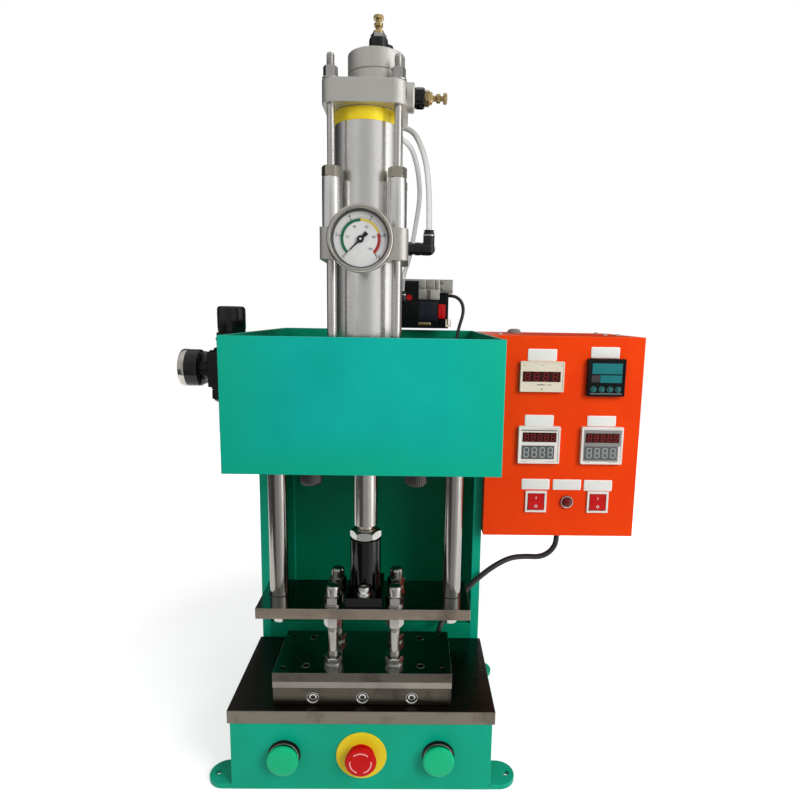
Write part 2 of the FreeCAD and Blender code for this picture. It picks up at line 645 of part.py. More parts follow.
def top_flange():
    """Rounded square head with through holes for the tie rods and the side throttle's port."""
    size = TOP_FLANGE_SIZE
    block = rounded_block(0, PRESS_Y, size, size, TOP_BOTTOM, TOP_TOP, TOP_FLANGE_CORNER)
    holes = [rod(UPPER_TIE_RADIUS + SCREW_FIT, Vector(x, y, TOP_BOTTOM), UP, TOP_FLANGE_THICK)
             for x, y in tie_points()]
    holes.append(rod(THROTTLE_STUB_RADIUS + SCREW_FIT, side_throttle_foot(), LEFT, TIE_THREAD_DEPTH))
    return drilled(block, holes)


def top_cap():
    """Round reservoir cap with a groove, set off the cylinder's axis, tapped for the top throttle."""
    cap = rod(CAP_RADIUS, Vector(CAP_OFFSET, PRESS_Y, TOP_TOP), UP, CAP_HEIGHT)
    cap = soften_rim(cap, CAP_GROOVE, CAP_TOP)
    groove_foot = Vector(CAP_OFFSET, PRESS_Y, TOP_TOP + CAP_GROOVE_UP)
    ring = rod(CAP_RADIUS * 2, groove_foot, UP, CAP_GROOVE)
    ring = ring.cut(rod(CAP_RADIUS - CAP_GROOVE, groove_foot, UP, CAP_GROOVE))
    port = rod(THROTTLE_STUB_RADIUS + SCREW_FIT, top_throttle_foot(), DOWN, TIE_THREAD_DEPTH)
    return drilled(cap, [ring, port])


def tie_rods():
    """Four lower and four upper rods that clamp the barrels between the flanges."""
    rods = []
    depth = TIE_THREAD_DEPTH - SCREW_FIT
    lower = LOWER_BARREL_LENGTH + 2 * depth
    upper = depth + UPPER_BARREL_LENGTH + TOP_FLANGE_THICK + TIE_NUT_HEIGHT + TIE_STUD_ABOVE_NUT
    for x, y in tie_points():
        rods.append(rod(LOWER_TIE_RADIUS, Vector(x, y, CYLINDER_FLOOR - depth), UP, lower))
        rods.append(rod(UPPER_TIE_RADIUS, Vector(x, y, MIDDLE_TOP - depth), UP, upper))
    return rods


def cylinder_fasteners():
    """Flange bolts under the head, sleeves and hexagon collars on the upper rods, and the top nuts."""
    pieces = []
    for x, y in corners(FLANGE_BOLT_SPACING_X, TIE_SPACING):
        seat = Vector(x, PRESS_Y + y, HEAD_BOTTOM)
        head = rod(FLANGE_BOLT_HEAD_RADIUS, seat, DOWN, FLANGE_BOLT_HEAD_HEIGHT)
        base = seat + DOWN * FLANGE_BOLT_HEAD_HEIGHT
        head = head.cut(hexagon(FLANGE_BOLT_SOCKET_FLATS, base, UP, FLANGE_BOLT_HEAD_HEIGHT / 2))
        shank = rod(FLANGE_BOLT_RADIUS, seat, UP, FLOOR_THICK + FLANGE_BOLT_ENGAGED - SCREW_FIT)
        pieces.append(head.fuse(shank))
    bore = UPPER_TIE_RADIUS + SCREW_FIT
    for x, y in tie_points():
        foot = Vector(x, y, MIDDLE_TOP)
        pieces.append(rod(SLEEVE_RADIUS, foot, UP, SLEEVE_LENGTH).cut(rod(bore, foot, UP, SLEEVE_LENGTH)))
        seat = foot + UP * SLEEVE_LENGTH
        pieces.append(hexagon(COLLAR_FLATS, seat, UP, COLLAR_HEIGHT).cut(rod(bore, seat, UP, COLLAR_HEIGHT)))
        seat = Vector(x, y, TOP_TOP)
        nut = hexagon(TIE_NUT_FLATS, seat, UP, TIE_NUT_HEIGHT)
        pieces.append(nut.cut(rod(bore, seat, UP, TIE_NUT_HEIGHT)))
    return pieces


def gauge_case():
    """Round case open to the front, with its stem and hexagon screwed in the middle flange."""
    centre = Vector(0, GAUGE_BACK, GAUGE_Z)
    case = rod(GAUGE_RADIUS, centre, FORWARD, GAUGE_DEPTH)
    hollow = rod(GAUGE_RADIUS - GAUGE_WALL, centre + FORWARD * GAUGE_WALL, FORWARD, GAUGE_DEPTH)
    case = case.cut(hollow)
    flange_face = Vector(0, PRESS_Y - FLANGE_SIZE / 2, GAUGE_Z)
    hexagon_length = GAUGE_STANDOFF / 2
    stem = rod(GAUGE_STEM_RADIUS, centre, BACKWARD, GAUGE_STANDOFF + TIE_THREAD_DEPTH - SCREW_FIT)
    nut = hexagon(GAUGE_STEM_FLATS, flange_face, FORWARD, hexagon_length)
    return case.fuse([stem, nut])


def gauge_dial():
    """Dial plate with the pin that the needle turns on."""
    face = Vector(0, DIAL_FRONT, GAUGE_Z)
    plate = rod(GAUGE_RADIUS - GAUGE_WALL - SCREW_FIT, face, BACKWARD, GAUGE_DIAL_THICK)
    back = GAUGE_BACK - GAUGE_WALL - DIAL_FRONT - GAUGE_DIAL_THICK
    movement = rod(GAUGE_RADIUS / 2, face + BACKWARD * GAUGE_DIAL_THICK, BACKWARD, back)
    pin = rod(NEEDLE_PIN_RADIUS, face, FORWARD, GAUGE_DIAL_SETBACK / 2)
    return plate.fuse([movement, pin])


def needle(centre, length, tail, pointing):
    """Flat needle with a hub, bored for its pin, on a dial that faces the front."""
    y = centre.y
    tip = polar_point(centre, length, pointing, y)
    end_left = polar_point(centre, tail, pointing + 180 - 14, y)
    end_right = polar_point(centre, tail, pointing + 180 + 14, y)
    side_left = polar_point(centre, NEEDLE_WIDTH / 2, pointing - 90, y)
    side_right = polar_point(centre, NEEDLE_WIDTH / 2, pointing + 90, y)
    outline = Part.makePolygon([tip, side_right, end_left, end_right, side_left, tip])
    blade = Part.Face(outline).extrude(FORWARD * NEEDLE_THICK)
    hub = rod(NEEDLE_HUB_RADIUS, centre, FORWARD, NEEDLE_THICK * 2)
    bore = rod(NEEDLE_PIN_RADIUS + SLIDE_FIT, centre, FORWARD, NEEDLE_THICK * 4)
    return blade.fuse(hub).cut(bore).removeSplitter()


def gauge_needle():
    """Needle of the large gauge, at its zero."""
    return needle(Vector(0, DIAL_FRONT - NEEDLE_THICK, GAUGE_Z), NEEDLE_LENGTH, NEEDLE_TAIL, GAUGE_ZERO)


def throttle(foot, way, arm_way):
    """Exhaust throttle without its screw: collar, body with a side arm, and a cone bored for the screw."""
    stub = rod(THROTTLE_STUB_RADIUS, foot, way * -1, TIE_THREAD_DEPTH - SCREW_FIT)
    collar = rod(THROTTLE_COLLAR_RADIUS, foot, way, THROTTLE_COLLAR_HEIGHT).fuse(stub)
    body_foot = foot + way * THROTTLE_COLLAR_HEIGHT
    body = rod(THROTTLE_BODY_RADIUS, body_foot, way, THROTTLE_BODY_HEIGHT)
    arm_foot = body_foot + way * (THROTTLE_BODY_HEIGHT / 2)
    arm = rod(THROTTLE_ARM_RADIUS, arm_foot, arm_way, THROTTLE_ARM_LENGTH)
    cone_foot = body_foot + way * THROTTLE_BODY_HEIGHT
    cone = Part.makeCone(THROTTLE_CONE_RADIUS, THROTTLE_CONE_TOP_RADIUS, THROTTLE_CONE_HEIGHT,
                         cone_foot, way)
    bore_foot = cone_foot + way * (THROTTLE_CONE_HEIGHT - THROTTLE_SCREW_DEPTH)
    bore = rod(THROTTLE_SCREW_RADIUS + SLIDE_FIT, bore_foot, way, THROTTLE_SCREW_DEPTH)
    return collar.fuse([body, arm, cone]).cut(bore)


def throttle_screw(foot, way):
    """Brass adjusting screw of a throttle, with a knurled head."""
    depth = THROTTLE_SCREW_DEPTH - SCREW_FIT
    bore_top = foot + way * (THROTTLE_COLLAR_HEIGHT + THROTTLE_BODY_HEIGHT + THROTTLE_CONE_HEIGHT)
    shank = rod(THROTTLE_SCREW_RADIUS, bore_top - way * depth, way, depth + THROTTLE_SCREW_SHANK)
    head = rod(THROTTLE_HEAD_RADIUS, bore_top + way * THROTTLE_SCREW_SHANK, way, THROTTLE_HEAD_HEIGHT)
    return shank.fuse(head)


def top_throttle_foot():
    """Where the top throttle stands on the cap."""
    return Vector(CAP_OFFSET + THROTTLE_OFFSET, PRESS_Y, CAP_TOP)


def side_throttle_foot():
    """Where the side throttle meets its hexagon on the top flange."""
    return Vector(TOP_FLANGE_SIZE / 2, PRESS_Y - SIDE_PORT_FORWARD, (TOP_BOTTOM + TOP_TOP) / 2)


def elbow_fitting():
    """Push-in elbow in the right side of the middle flange, with its mouth up."""
    axis = Vector(FLANGE_SIZE / 2, PRESS_Y, GAUGE_Z)
    across = rod(ELBOW_BODY_RADIUS, axis, RIGHT, ELBOW_OUT)
    stub = rod(ELBOW_THREAD_RADIUS, axis, LEFT, TIE_THREAD_DEPTH - SCREW_FIT)
    corner = Part.makeSphere(ELBOW_BODY_RADIUS, Vector(ELBOW_X, PRESS_Y, GAUGE_Z))
    upright = rod(PUSH_IN_RADIUS, Vector(ELBOW_X, PRESS_Y, GAUGE_Z), UP, ELBOW_UP)
    return across.fuse([stub, corner, upright])


def rear_mouths():
    """Mouths of the two push-in fittings on the rear block, front one first."""
    back = PRESS_Y + TOP_FLANGE_SIZE / 2 + REAR_BLOCK_DEPTH
    rear = Vector(REAR_MOUTH_X, back - PUSH_IN_RADIUS, TOP_BOTTOM + REAR_MOUTH_LIFT)
    return rear + FORWARD * REAR_MOUTHS_BETWEEN + UP * PUSH_IN_RADIUS, rear


def rear_block():
    """Port block bolted behind the top flange, with two push-in fittings that face right."""
    y = PRESS_Y + TOP_FLANGE_SIZE / 2
    right = REAR_MOUTH_X - PUSH_IN_LENGTH
    z = TOP_BOTTOM - REAR_BLOCK_BELOW
    block = box(right - REAR_BLOCK_WIDTH, right, y, y + REAR_BLOCK_DEPTH, z, z + REAR_BLOCK_HEIGHT)
    for mouth in rear_mouths():
        block = block.fuse(rod(PUSH_IN_RADIUS, mouth, LEFT, PUSH_IN_LENGTH + REAR_BLOCK_WIDTH / 2))
    return block


def valve_port():
    """Where the axis of the valve's elbow meets the valve's front."""
    return Vector(VALVE_LEFT + VALVE_PORT_LEFT, VALVE_FRONT, VALVE_BOTTOM + VALVE_HEIGHT - VALVE_PORT_DROP)


def valve_mouth():
    """Mouth of the valve's elbow, which faces up."""
    return valve_port() + FORWARD * VALVE_PORT_OUT + UP * VALVE_PORT_UP


def valve_fitting():
    """Push-in elbow in the valve's front, with its mouth up."""
    corner = valve_port() + FORWARD * VALVE_PORT_OUT
    across = rod(PUSH_IN_RADIUS, valve_port(), FORWARD, VALVE_PORT_OUT)
    upright = rod(PUSH_IN_RADIUS, corner, UP, VALVE_PORT_UP)
    return across.fuse([Part.makeSphere(PUSH_IN_RADIUS, corner), upright])


def air_fittings():
    """Both throttles, the elbow, the rear port block and the valve's fitting."""
    side_foot = side_throttle_foot()
    nut = hexagon(SIDE_HEX_FLATS, side_foot, RIGHT, SIDE_HEX_LENGTH)
    side = throttle(side_foot, RIGHT, BACKWARD).fuse(nut)
    arm_way = Vector(1, 1, 0).normalize()
    return [throttle(top_throttle_foot(), UP, arm_way), side, elbow_fitting(), rear_block(), valve_fitting()]


def front_tube_points():
    """From the elbow up, back and over to the rear block's front fitting."""
    start = Vector(ELBOW_X, PRESS_Y, GAUGE_Z + ELBOW_UP)
    end = rear_mouths()[0]
    return [start,
            start + Vector(0, 0, 17),
            start + Vector(-1, 5.5, 48.75),
            start + Vector(-4.5, 16, 77.25),
            end + Vector(50, -31.2, -24.2),
            end + Vector(43.5, -19.2, -12.2),
            end + Vector(36.25, -10.45, -6.2),
            end + Vector(29, -5.45, -3.2),
            end + Vector(21, -2.2, -1.2),
            end + Vector(11, 0, 0),
            end]


def rear_tube_points():
    """From the valve's elbow up and forward to the rear block's rear fitting."""
    start = valve_mouth()
    end = rear_mouths()[1]
    return [start,
            start + Vector(0, 0, 10),
            start + Vector(2, -3.5, 25),
            start + Vector(10.5, -19.5, 46.5),
            start + Vector(18, -49.5, 88.5),
            end + Vector(54, 70.2, -58),
            end + Vector(51, 42.7, -34),
            end + Vector(45, 23.7, -15),
            end + Vector(37.75, 12.7, -7.25),
            end + Vector(29.75, 6.2, -3),
            end + Vector(20.5, 1.95, -0.75),
            end + Vector(10, 0, 0),
            end]


def valve_body():
    """Black valve body and the narrower plug at its right end."""
    top = VALVE_BOTTOM + VALVE_HEIGHT
    right = VALVE_LEFT + VALVE_BODY_WIDTH
    back = VALVE_FRONT + VALVE_DEPTH
    body = box(VALVE_LEFT, right, VALVE_FRONT, back, VALVE_BOTTOM, top)
    plug = box(right, right + VALVE_PLUG_WIDTH, VALVE_FRONT + VALVE_BLOCK_PROUD, back,
               VALVE_BOTTOM, top - VALVE_END_HEIGHT)
    return [body, plug]


def valve_blocks():
    """Silver blocks on the valve's front and end, and the bracket on the head's back panel."""
    top = VALVE_BOTTOM + VALVE_HEIGHT
    left = VALVE_LEFT + VALVE_BLOCK_LEFT
    end = VALVE_LEFT + VALVE_BODY_WIDTH
    back = BACK - HEAD_WALL
    large = box(left, left + VALVE_BLOCK_WIDTH, VALVE_FRONT - VALVE_BLOCK_PROUD, VALVE_FRONT,
                top - VALVE_BLOCK_HEIGHT, top)
    small = box(end, VALVE_LEFT + VALVE_WIDTH, VALVE_FRONT, VALVE_FRONT + VALVE_DEPTH,
                top - VALVE_END_HEIGHT, top)
    shelf = box(VALVE_LEFT, VALVE_LEFT + VALVE_BRACKET_WIDTH, VALVE_FRONT, back, HEAD_TOP, VALVE_BOTTOM)
    leg = box(VALVE_LEFT, VALVE_LEFT + VALVE_BRACKET_WIDTH, back - VALVE_BRACKET_THICK, back,
              HEAD_TOP - VALVE_BRACKET_DROP, HEAD_TOP)
    return [large, small, shelf.fuse(leg).removeSplitter()]


def valve_lead_points():
    """From the plug's right side in a loop down to the head's right wall."""
    start = Vector(VALVE_LEFT + VALVE_BODY_WIDTH + VALVE_PLUG_WIDTH, VALVE_FRONT + VALVE_DEPTH / 2,
                   VALVE_BOTTOM + VALVE_HEIGHT - VALVE_END_HEIGHT - LEAD_DROP)
    end = Vector(SIDE - HEAD_WALL, BACK - LEAD_FROM_BACK, HEAD_TOP - LEAD_ENTRY_DROP)
    return [start,
            start + Vector(8.5, 0, 0),
            start + Vector(16.5, -0.5, -4),
            start + Vector(22.5, -1, -12),
            start + Vector(24, -3, -26),
            start + Vector(15.5, -9, -51.5),
            end + Vector(-28, 16, 62),
            end + Vector(-28, 9, 34),
            end + Vector(-24.5, 4, 14),
            end + Vector(-17, 1, 4),
            end + Vector(-8.5, 0, 0),
            end]


def regulator_body():
    """Block, bonnet and bowl, bolted to the head's left wall, with the tapped air inlet at the back."""
    half = REGULATOR_WIDTH / 2
    z = REGULATOR_CENTRE_HEIGHT
    bottom = z - REGULATOR_HEIGHT / 2
    top = z + REGULATOR_HEIGHT / 2
    block = rounded_block(REGULATOR_X, REGULATOR_Y, REGULATOR_WIDTH, REGULATOR_WIDTH,
                          bottom, top, REGULATOR_CORNER)
    bonnet = rod(BONNET_RADIUS, Vector(REGULATOR_X, REGULATOR_Y, top), UP, BONNET_HEIGHT)
    spindle_foot = Vector(REGULATOR_X, REGULATOR_Y, top + BONNET_HEIGHT)
    spindle = rod(KNOB_STEM_RADIUS, spindle_foot, UP, KNOB_BORE_DEPTH - KNOB_SPINDLE_GAP)
    bowl = rod(BOWL_RADIUS, Vector(REGULATOR_X, REGULATOR_Y, bottom), DOWN, BOWL_HEIGHT)
    bowl = soften_rim(bowl, BOWL_RADIUS / 3, bottom - BOWL_HEIGHT)
    gap = REGULATOR_FROM_WALL - half
    rise = REGULATOR_BRACKET_HEIGHT / 2
    bracket = box(-SIDE - gap, -SIDE, REGULATOR_Y - half, REGULATOR_Y + half, z - rise, z + rise)
    port = rod(PORT_RADIUS, Vector(REGULATOR_X, REGULATOR_Y + half, z), BACKWARD, PORT_LENGTH)
    left_face = Vector(REGULATOR_X - half, REGULATOR_Y, z)
    stem = rod(SIDE_GAUGE_ADAPTER_RADIUS, left_face, LEFT, SIDE_GAUGE_STANDOFF)
    whole = block.fuse([bonnet, spindle, bowl, bracket, port, stem])
    inlet = rod(INLET_RADIUS, Vector(REGULATOR_X, REGULATOR_Y + half + PORT_LENGTH, z), FORWARD, INLET_DEPTH)
    return whole.cut(inlet).removeSplitter()


def side_dial_x():
    """Face of the small gauge's dial."""
    return REGULATOR_X - REGULATOR_WIDTH / 2 - SIDE_GAUGE_STANDOFF - SIDE_GAUGE_DEPTH + SIDE_DIAL_SETBACK


def regulator_gauge():
    """Small gauge that faces left: case, dial and the needle's pin."""
    back_x = REGULATOR_X - REGULATOR_WIDTH / 2 - SIDE_GAUGE_STANDOFF
    centre = Vector(back_x, REGULATOR_Y, REGULATOR_CENTRE_HEIGHT)
    case = rod(SIDE_GAUGE_RADIUS, centre, LEFT, SIDE_GAUGE_DEPTH)
    dial = Vector(side_dial_x(), REGULATOR_Y, REGULATOR_CENTRE_HEIGHT)
    hollow = rod(SIDE_GAUGE_RADIUS - GAUGE_WALL, dial, LEFT, SIDE_DIAL_SETBACK)
    pin = rod(NEEDLE_PIN_RADIUS, dial, LEFT, SIDE_DIAL_SETBACK / 2)
    return case.cut(hollow).fuse(pin)


def regulator_needle():
    """Needle of the small gauge, at its zero."""
    flat = needle(Vector(0, 0, 0), SIDE_NEEDLE_LENGTH, NEEDLE_TAIL / 2, GAUGE_ZERO)
    flat.rotate(Vector(0, 0, 0), UP, -90)
    flat.translate(Vector(side_dial_x() - NEEDLE_THICK, REGULATOR_Y, REGULATOR_CENTRE_HEIGHT))
    return flat


def regulator_knob():
    """Ribbed adjusting knob over the regulator's spindle."""
    bottom = REGULATOR_CENTRE_HEIGHT + REGULATOR_HEIGHT / 2 + BONNET_HEIGHT + BUTTON_FIT
    foot = Vector(REGULATOR_X, REGULATOR_Y, bottom)
    knob = rod(KNOB_RADIUS, foot, UP, KNOB_HEIGHT)
    knob = soften_rim(knob, KNOB_ROUND, bottom + KNOB_HEIGHT)
    return knob.cut(rod(KNOB_STEM_RADIUS + SLIDE_FIT, foot, UP, KNOB_BORE_DEPTH))


def control_box():
    """Sheet box open to the front, bolted to the head's right side."""
    right = BOX_LEFT + BOX_WIDTH
    front = BOX_FRONT + BOX_SHEET
    shell = box(BOX_LEFT, right, front, BOX_BACK, BOX_BOTTOM, BOX_TOP)
    inside = box(BOX_LEFT + BOX_SHEET, right - BOX_SHEET, front, BOX_BACK - BOX_SHEET,
                 BOX_BOTTOM + BOX_SHEET, BOX_TOP - BOX_SHEET)
    gland_hole = rod(GLAND_THREAD_RADIUS + SCREW_FIT, GLAND_CENTRE, UP, BOX_SHEET)
    return drilled(shell, [inside, gland_hole])


def panel_openings():
    """The instruments' openings, as blocks through the front panel."""
    depth = LID_FLANGE
    left, middle, right = panel_columns()
    openings = []
    for x, z, wide, high in meter_places():
        inset = METER_BODY_INSET - PANEL_FIT
        openings.append(box(x - wide / 2 + inset, x + wide / 2 - inset, BOX_FRONT, BOX_FRONT + depth,
                            z - high / 2 + inset, z + high / 2 - inset))
    half = CONTROLLER_BODY / 2 + PANEL_FIT
    openings.append(box(right - half, right + half, BOX_FRONT, BOX_FRONT + depth,
                        METER_Z - half, METER_Z + half))
    for x in (left, right):
        wide = ROCKER_WIDTH / 2 + ROCKER_FRAME / 2 + PANEL_FIT
        high = ROCKER_HEIGHT / 2 + ROCKER_FRAME / 2 + PANEL_FIT
        openings.append(box(x - wide, x + wide, BOX_FRONT, BOX_FRONT + depth,
                            SWITCH_Z - high, SWITCH_Z + high))
    lamp = Vector(middle, BOX_FRONT, SWITCH_Z)
    openings.append(rod(LAMP_BODY_RADIUS + SCREW_FIT, lamp, BACKWARD, depth))
    return openings


def panel_columns():
    """X of the left, middle and right column of instruments."""
    return PANEL_X - PANEL_COLUMN_PITCH, PANEL_X, PANEL_X + PANEL_COLUMN_PITCH


def meter_places():
    """Centre X, centre Z, width and height of the counter and the two timers."""
    left = PANEL_X - PANEL_COLUMN_PITCH
    right = PANEL_X + PANEL_COLUMN_PITCH
    return [(left, METER_Z, COUNTER_WIDTH, COUNTER_HEIGHT),
            (left, TIMER_Z, TIMER_WIDTH, TIMER_HEIGHT),
            (right, TIMER_Z, TIMER_WIDTH, TIMER_HEIGHT)]


def control_box_lid():
    """Front panel with a flange that sits inside the shell."""
    right = BOX_LEFT + BOX_WIDTH
    plate = box(BOX_LEFT, right, BOX_FRONT, BOX_FRONT + BOX_SHEET, BOX_BOTTOM, BOX_TOP)
    inset = BOX_SHEET + PANEL_FIT
    wall = inset + BOX_SHEET
    y0 = BOX_FRONT + BOX_SHEET
    y1 = y0 + LID_FLANGE
    flange = box(BOX_LEFT + inset, right - inset, y0, y1, BOX_BOTTOM + inset, BOX_TOP - inset)
    flange = flange.cut(box(BOX_LEFT + wall, right - wall, y0, y1, BOX_BOTTOM + wall, BOX_TOP - wall))
    return drilled(plate.fuse(flange), panel_openings())


def meter(x, z, wide, high):
    """One instrument: a bezel in front of the panel and a body behind it."""
    bezel = box(x - wide / 2, x + wide / 2, BOX_FRONT - METER_PROUD, BOX_FRONT, z - high / 2, z + high / 2)
    inset = METER_BODY_INSET
    body = box(x - wide / 2 + inset, x + wide / 2 - inset, BOX_FRONT, BOX_FRONT + METER_BODY_DEPTH,
               z - high / 2 + inset, z + high / 2 - inset)
    return bezel.fuse(body).removeSplitter()


def counter_and_timers():
    """The counter above the two timers."""
    return [meter(*place) for place in meter_places()]


def key_centres():
    """Centres of the controller's four keys, on its face."""
    right = PANEL_X + PANEL_COLUMN_PITCH
    y = BOX_FRONT - CONTROLLER_BEZEL
    return [Vector(right + (step - 1.5) * KEY_PITCH, y, METER_Z - KEY_DROP) for step in range(4)]


def temperature_controller():
    """Square controller with four key holes in its face."""
    right = PANEL_X + PANEL_COLUMN_PITCH
    half = CONTROLLER_SIZE / 2
    bezel = box(right - half, right + half, BOX_FRONT - CONTROLLER_BEZEL, BOX_FRONT,
                METER_Z - half, METER_Z + half)
    half = CONTROLLER_BODY / 2
    body = box(right - half, right + half, BOX_FRONT, BOX_FRONT + METER_BODY_DEPTH,
               METER_Z - half, METER_Z + half)
    depth = KEY_DEPTH + KEY_TRAVEL + PANEL_FIT
    holes = [rod(KEY_RADIUS + SLIDE_FIT, centre, BACKWARD, depth) for centre in key_centres()]
    return drilled(bezel.fuse(body).removeSplitter(), holes)


def controller_key(number):
    """One round key of the controller."""
    centre = key_centres()[number]
    return rod(KEY_RADIUS, centre + FORWARD * KEY_PROUD, BACKWARD, KEY_PROUD + KEY_DEPTH)


def rocker_axis(x):
    """Middle of a rocker's pivot, in the plane of the panel's face."""
    return Vector(x, BOX_FRONT, SWITCH_Z)


def rocker_frame(x):
    """Frame and body of one rocker switch, hollow for the rocker, with its two pivot pins."""
    wide = ROCKER_WIDTH / 2 + ROCKER_FRAME
    high = ROCKER_HEIGHT / 2 + ROCKER_FRAME
    bezel = box(x - wide, x + wide, BOX_FRONT - ROCKER_FRAME_PROUD, BOX_FRONT,
                SWITCH_Z - high, SWITCH_Z + high)
    wide -= ROCKER_FRAME / 2
    high -= ROCKER_FRAME / 2
    back = BOX_FRONT + ROCKER_BODY_DEPTH
    body = box(x - wide, x + wide, BOX_FRONT, back, SWITCH_Z - high, SWITCH_Z + high)
    wide = ROCKER_WIDTH / 2 + BUTTON_FIT
    high = ROCKER_HEIGHT / 2 + BUTTON_FIT
    well = box(x - wide, x + wide, BOX_FRONT - ROCKER_FRAME_PROUD, back - ROCKER_FRAME,
               SWITCH_Z - high, SWITCH_Z + high)
    frame = bezel.fuse(body).removeSplitter().cut(well)
    axis = rocker_axis(x)
    length = ROCKER_PIN_LENGTH + BUTTON_FIT
    pins = [rod(ROCKER_PIN_RADIUS, axis + LEFT * wide, RIGHT, length),
            rod(ROCKER_PIN_RADIUS, axis + RIGHT * wide, LEFT, length)]
    return frame.fuse(pins)


def rocker(x):
    """Rocker with a face hollowed to its middle. Its lower end is out at rest."""
    axis = rocker_axis(x)
    half = ROCKER_HEIGHT / 2
    out_end = half - ROCKER_END_RELIEF
    front = axis.y - ROCKER_PROUD
    middle = front + out_end * math.tan(math.radians(ROCKER_HOLLOW + ROCKER_TURN / 2))
    in_front = middle - half * math.tan(math.radians(ROCKER_HOLLOW - ROCKER_TURN / 2))
    shoulder = half * ROCKER_SHOULDER
    points = [Vector(0, in_front, half), Vector(0, middle, 0), Vector(0, front, -out_end),
              Vector(0, axis.y, -shoulder), Vector(0, axis.y + half / 2, 0), Vector(0, axis.y, shoulder)]
    outline = Part.makePolygon(points + points[:1])
    outline.translate(Vector(x - ROCKER_WIDTH / 2, 0, SWITCH_Z))
    solid = Part.Face(outline).extrude(RIGHT * ROCKER_WIDTH)
    depth = ROCKER_PIN_LENGTH + SCREW_FIT
    radius = ROCKER_PIN_RADIUS + SLIDE_FIT
    holes = [rod(radius, axis + LEFT * (ROCKER_WIDTH / 2), RIGHT, depth),
             rod(radius, axis + RIGHT * (ROCKER_WIDTH / 2), LEFT, depth)]
    return drilled(solid, holes)


def pilot_lamp(x):
    """Pilot lamp with its ring, lens and body."""
    centre = Vector(x, BOX_FRONT, SWITCH_Z)
    ring = rod(LAMP_RADIUS, centre, FORWARD, LAMP_PROUD)
    lens = Part.makeSphere(LAMP_LENS_RADIUS, centre + FORWARD * (LAMP_PROUD - LAMP_LENS_RADIUS / 2))
    keep = rod(LAMP_LENS_RADIUS, centre, FORWARD, LAMP_LENS_RADIUS * 2)
    body = rod(LAMP_BODY_RADIUS, centre, BACKWARD, LAMP_BODY_DEPTH)
    return ring.fuse([lens.common(keep), body])


def panel_fittings():
    """Frames of the two rocker switches and the pilot lamp."""
    left, middle, right = panel_columns()
    return [rocker_frame(left), pilot_lamp(middle), rocker_frame(right)]


def cable_glands():
    """Gland under the control box and the domed grommet on its top."""
    nut = hexagon(GLAND_FLATS, GLAND_CENTRE, DOWN, GLAND_HEX_HEIGHT)
    nose_foot = GLAND_CENTRE + DOWN * GLAND_HEX_HEIGHT
    nose = Part.makeCone(GLAND_NOSE_RADIUS, GLAND_LIP_RADIUS, GLAND_NOSE_HEIGHT, nose_foot, DOWN)
    thread = rod(GLAND_THREAD_RADIUS, GLAND_CENTRE, UP, GLAND_THREAD_LENGTH)
    gland = nut.fuse([nose, thread])
    top = Vector(BOX_LEFT + GROMMET_X, BOX_FRONT + GROMMET_SETBACK, BOX_TOP)
    dome = rod(GROMMET_RADIUS, top, UP, GROMMET_HEIGHT)
    dome = soften_rim(dome, GROMMET_HEIGHT / 2, BOX_TOP + GROMMET_HEIGHT)
    return [gland, dome]


def relay_and_terminals():
    """Solid-state relay and terminal strip on the back of the control box."""
    back = BOX_BACK - BOX_SHEET
    middle = BOX_LEFT + BOX_WIDTH / 2
    pieces = []
    for left, up, wide, deep, high in (RELAY, TERMINAL_STRIP, POWER_SUPPLY):
        pieces.append(box(middle + left, middle + left + wide, back - deep, back,
                          BOX_BOTTOM + up, BOX_BOTTOM + up + high))
    return pieces


def heater_cable_points():
    """From the gland's mouth, hanging in front of the column's edge, to the boss behind the die block."""
    start = Vector(GLAND_CENTRE.x, GLAND_CENTRE.y, GLAND_MOUTH_Z)
    end = Vector(CABLE_EXIT_X, DIE_BACK + CABLE_BOSS_LENGTH, CABLE_END_Z)
    return [start,
            start + Vector(0, 0, -10),
            start + Vector(-3.5, 0, -19),
            start + Vector(-11, -0.5, -27),
            start + Vector(-23, -1.5, -32),
            start + Vector(-42.5, -3, -30.5),
            start + Vector(-65, -9, -30),
            start + Vector(-89, -18, -39),
            end + Vector(55, 32, 69.75),
            end + Vector(37, 29, 52.75),
            end + Vector(22.5, 30, 32.75),
            end + Vector(14.5, 32, 19.25),
            end + Vector(8, 28.5, 10.25),
            end + Vector(3, 21, 3.75),
            end + Vector(0, 11, 0),
            end]


def button_base(x, collar_radius, plate_radius):
    """Collar, threaded barrel and contact block of one button, bored for its stem."""
    face = Vector(x, FRONT, BUTTON_HEIGHT)
    collar = rod(collar_radius, face, FORWARD, BUTTON_COLLAR_THICK)
    shank = rod(BUTTON_BARREL_RADIUS, face, BACKWARD, BUTTON_BARREL_LENGTH)
    contact = centred_box(x, FRONT + BUTTON_BARREL_LENGTH + CONTACT_DEPTH / 2, CONTACT_SIZE, CONTACT_DEPTH,
                          BUTTON_HEIGHT - CONTACT_SIZE / 2, BUTTON_HEIGHT + CONTACT_SIZE / 2)
    whole = collar.fuse([shank, contact])
    if plate_radius > collar_radius:
        whole = whole.fuse(rod(plate_radius, face, FORWARD, ESTOP_PLATE_THICK))
    depth = BUTTON_COLLAR_THICK + BUTTON_BARREL_LENGTH
    bore = rod(BUTTON_STEM_RADIUS + SLIDE_FIT, face + FORWARD * BUTTON_COLLAR_THICK, BACKWARD, depth)
    return whole.cut(bore)


def button_bases():
    """Bases of the two run buttons and of the emergency stop, the latter with its round yellow plate."""
    half = BUTTON_SPACING / 2
    return [button_base(-half, BUTTON_COLLAR_RADIUS, 0), button_base(half, BUTTON_COLLAR_RADIUS, 0),
            button_base(0, ESTOP_COLLAR_RADIUS, ESTOP_PLATE_RADIUS)]


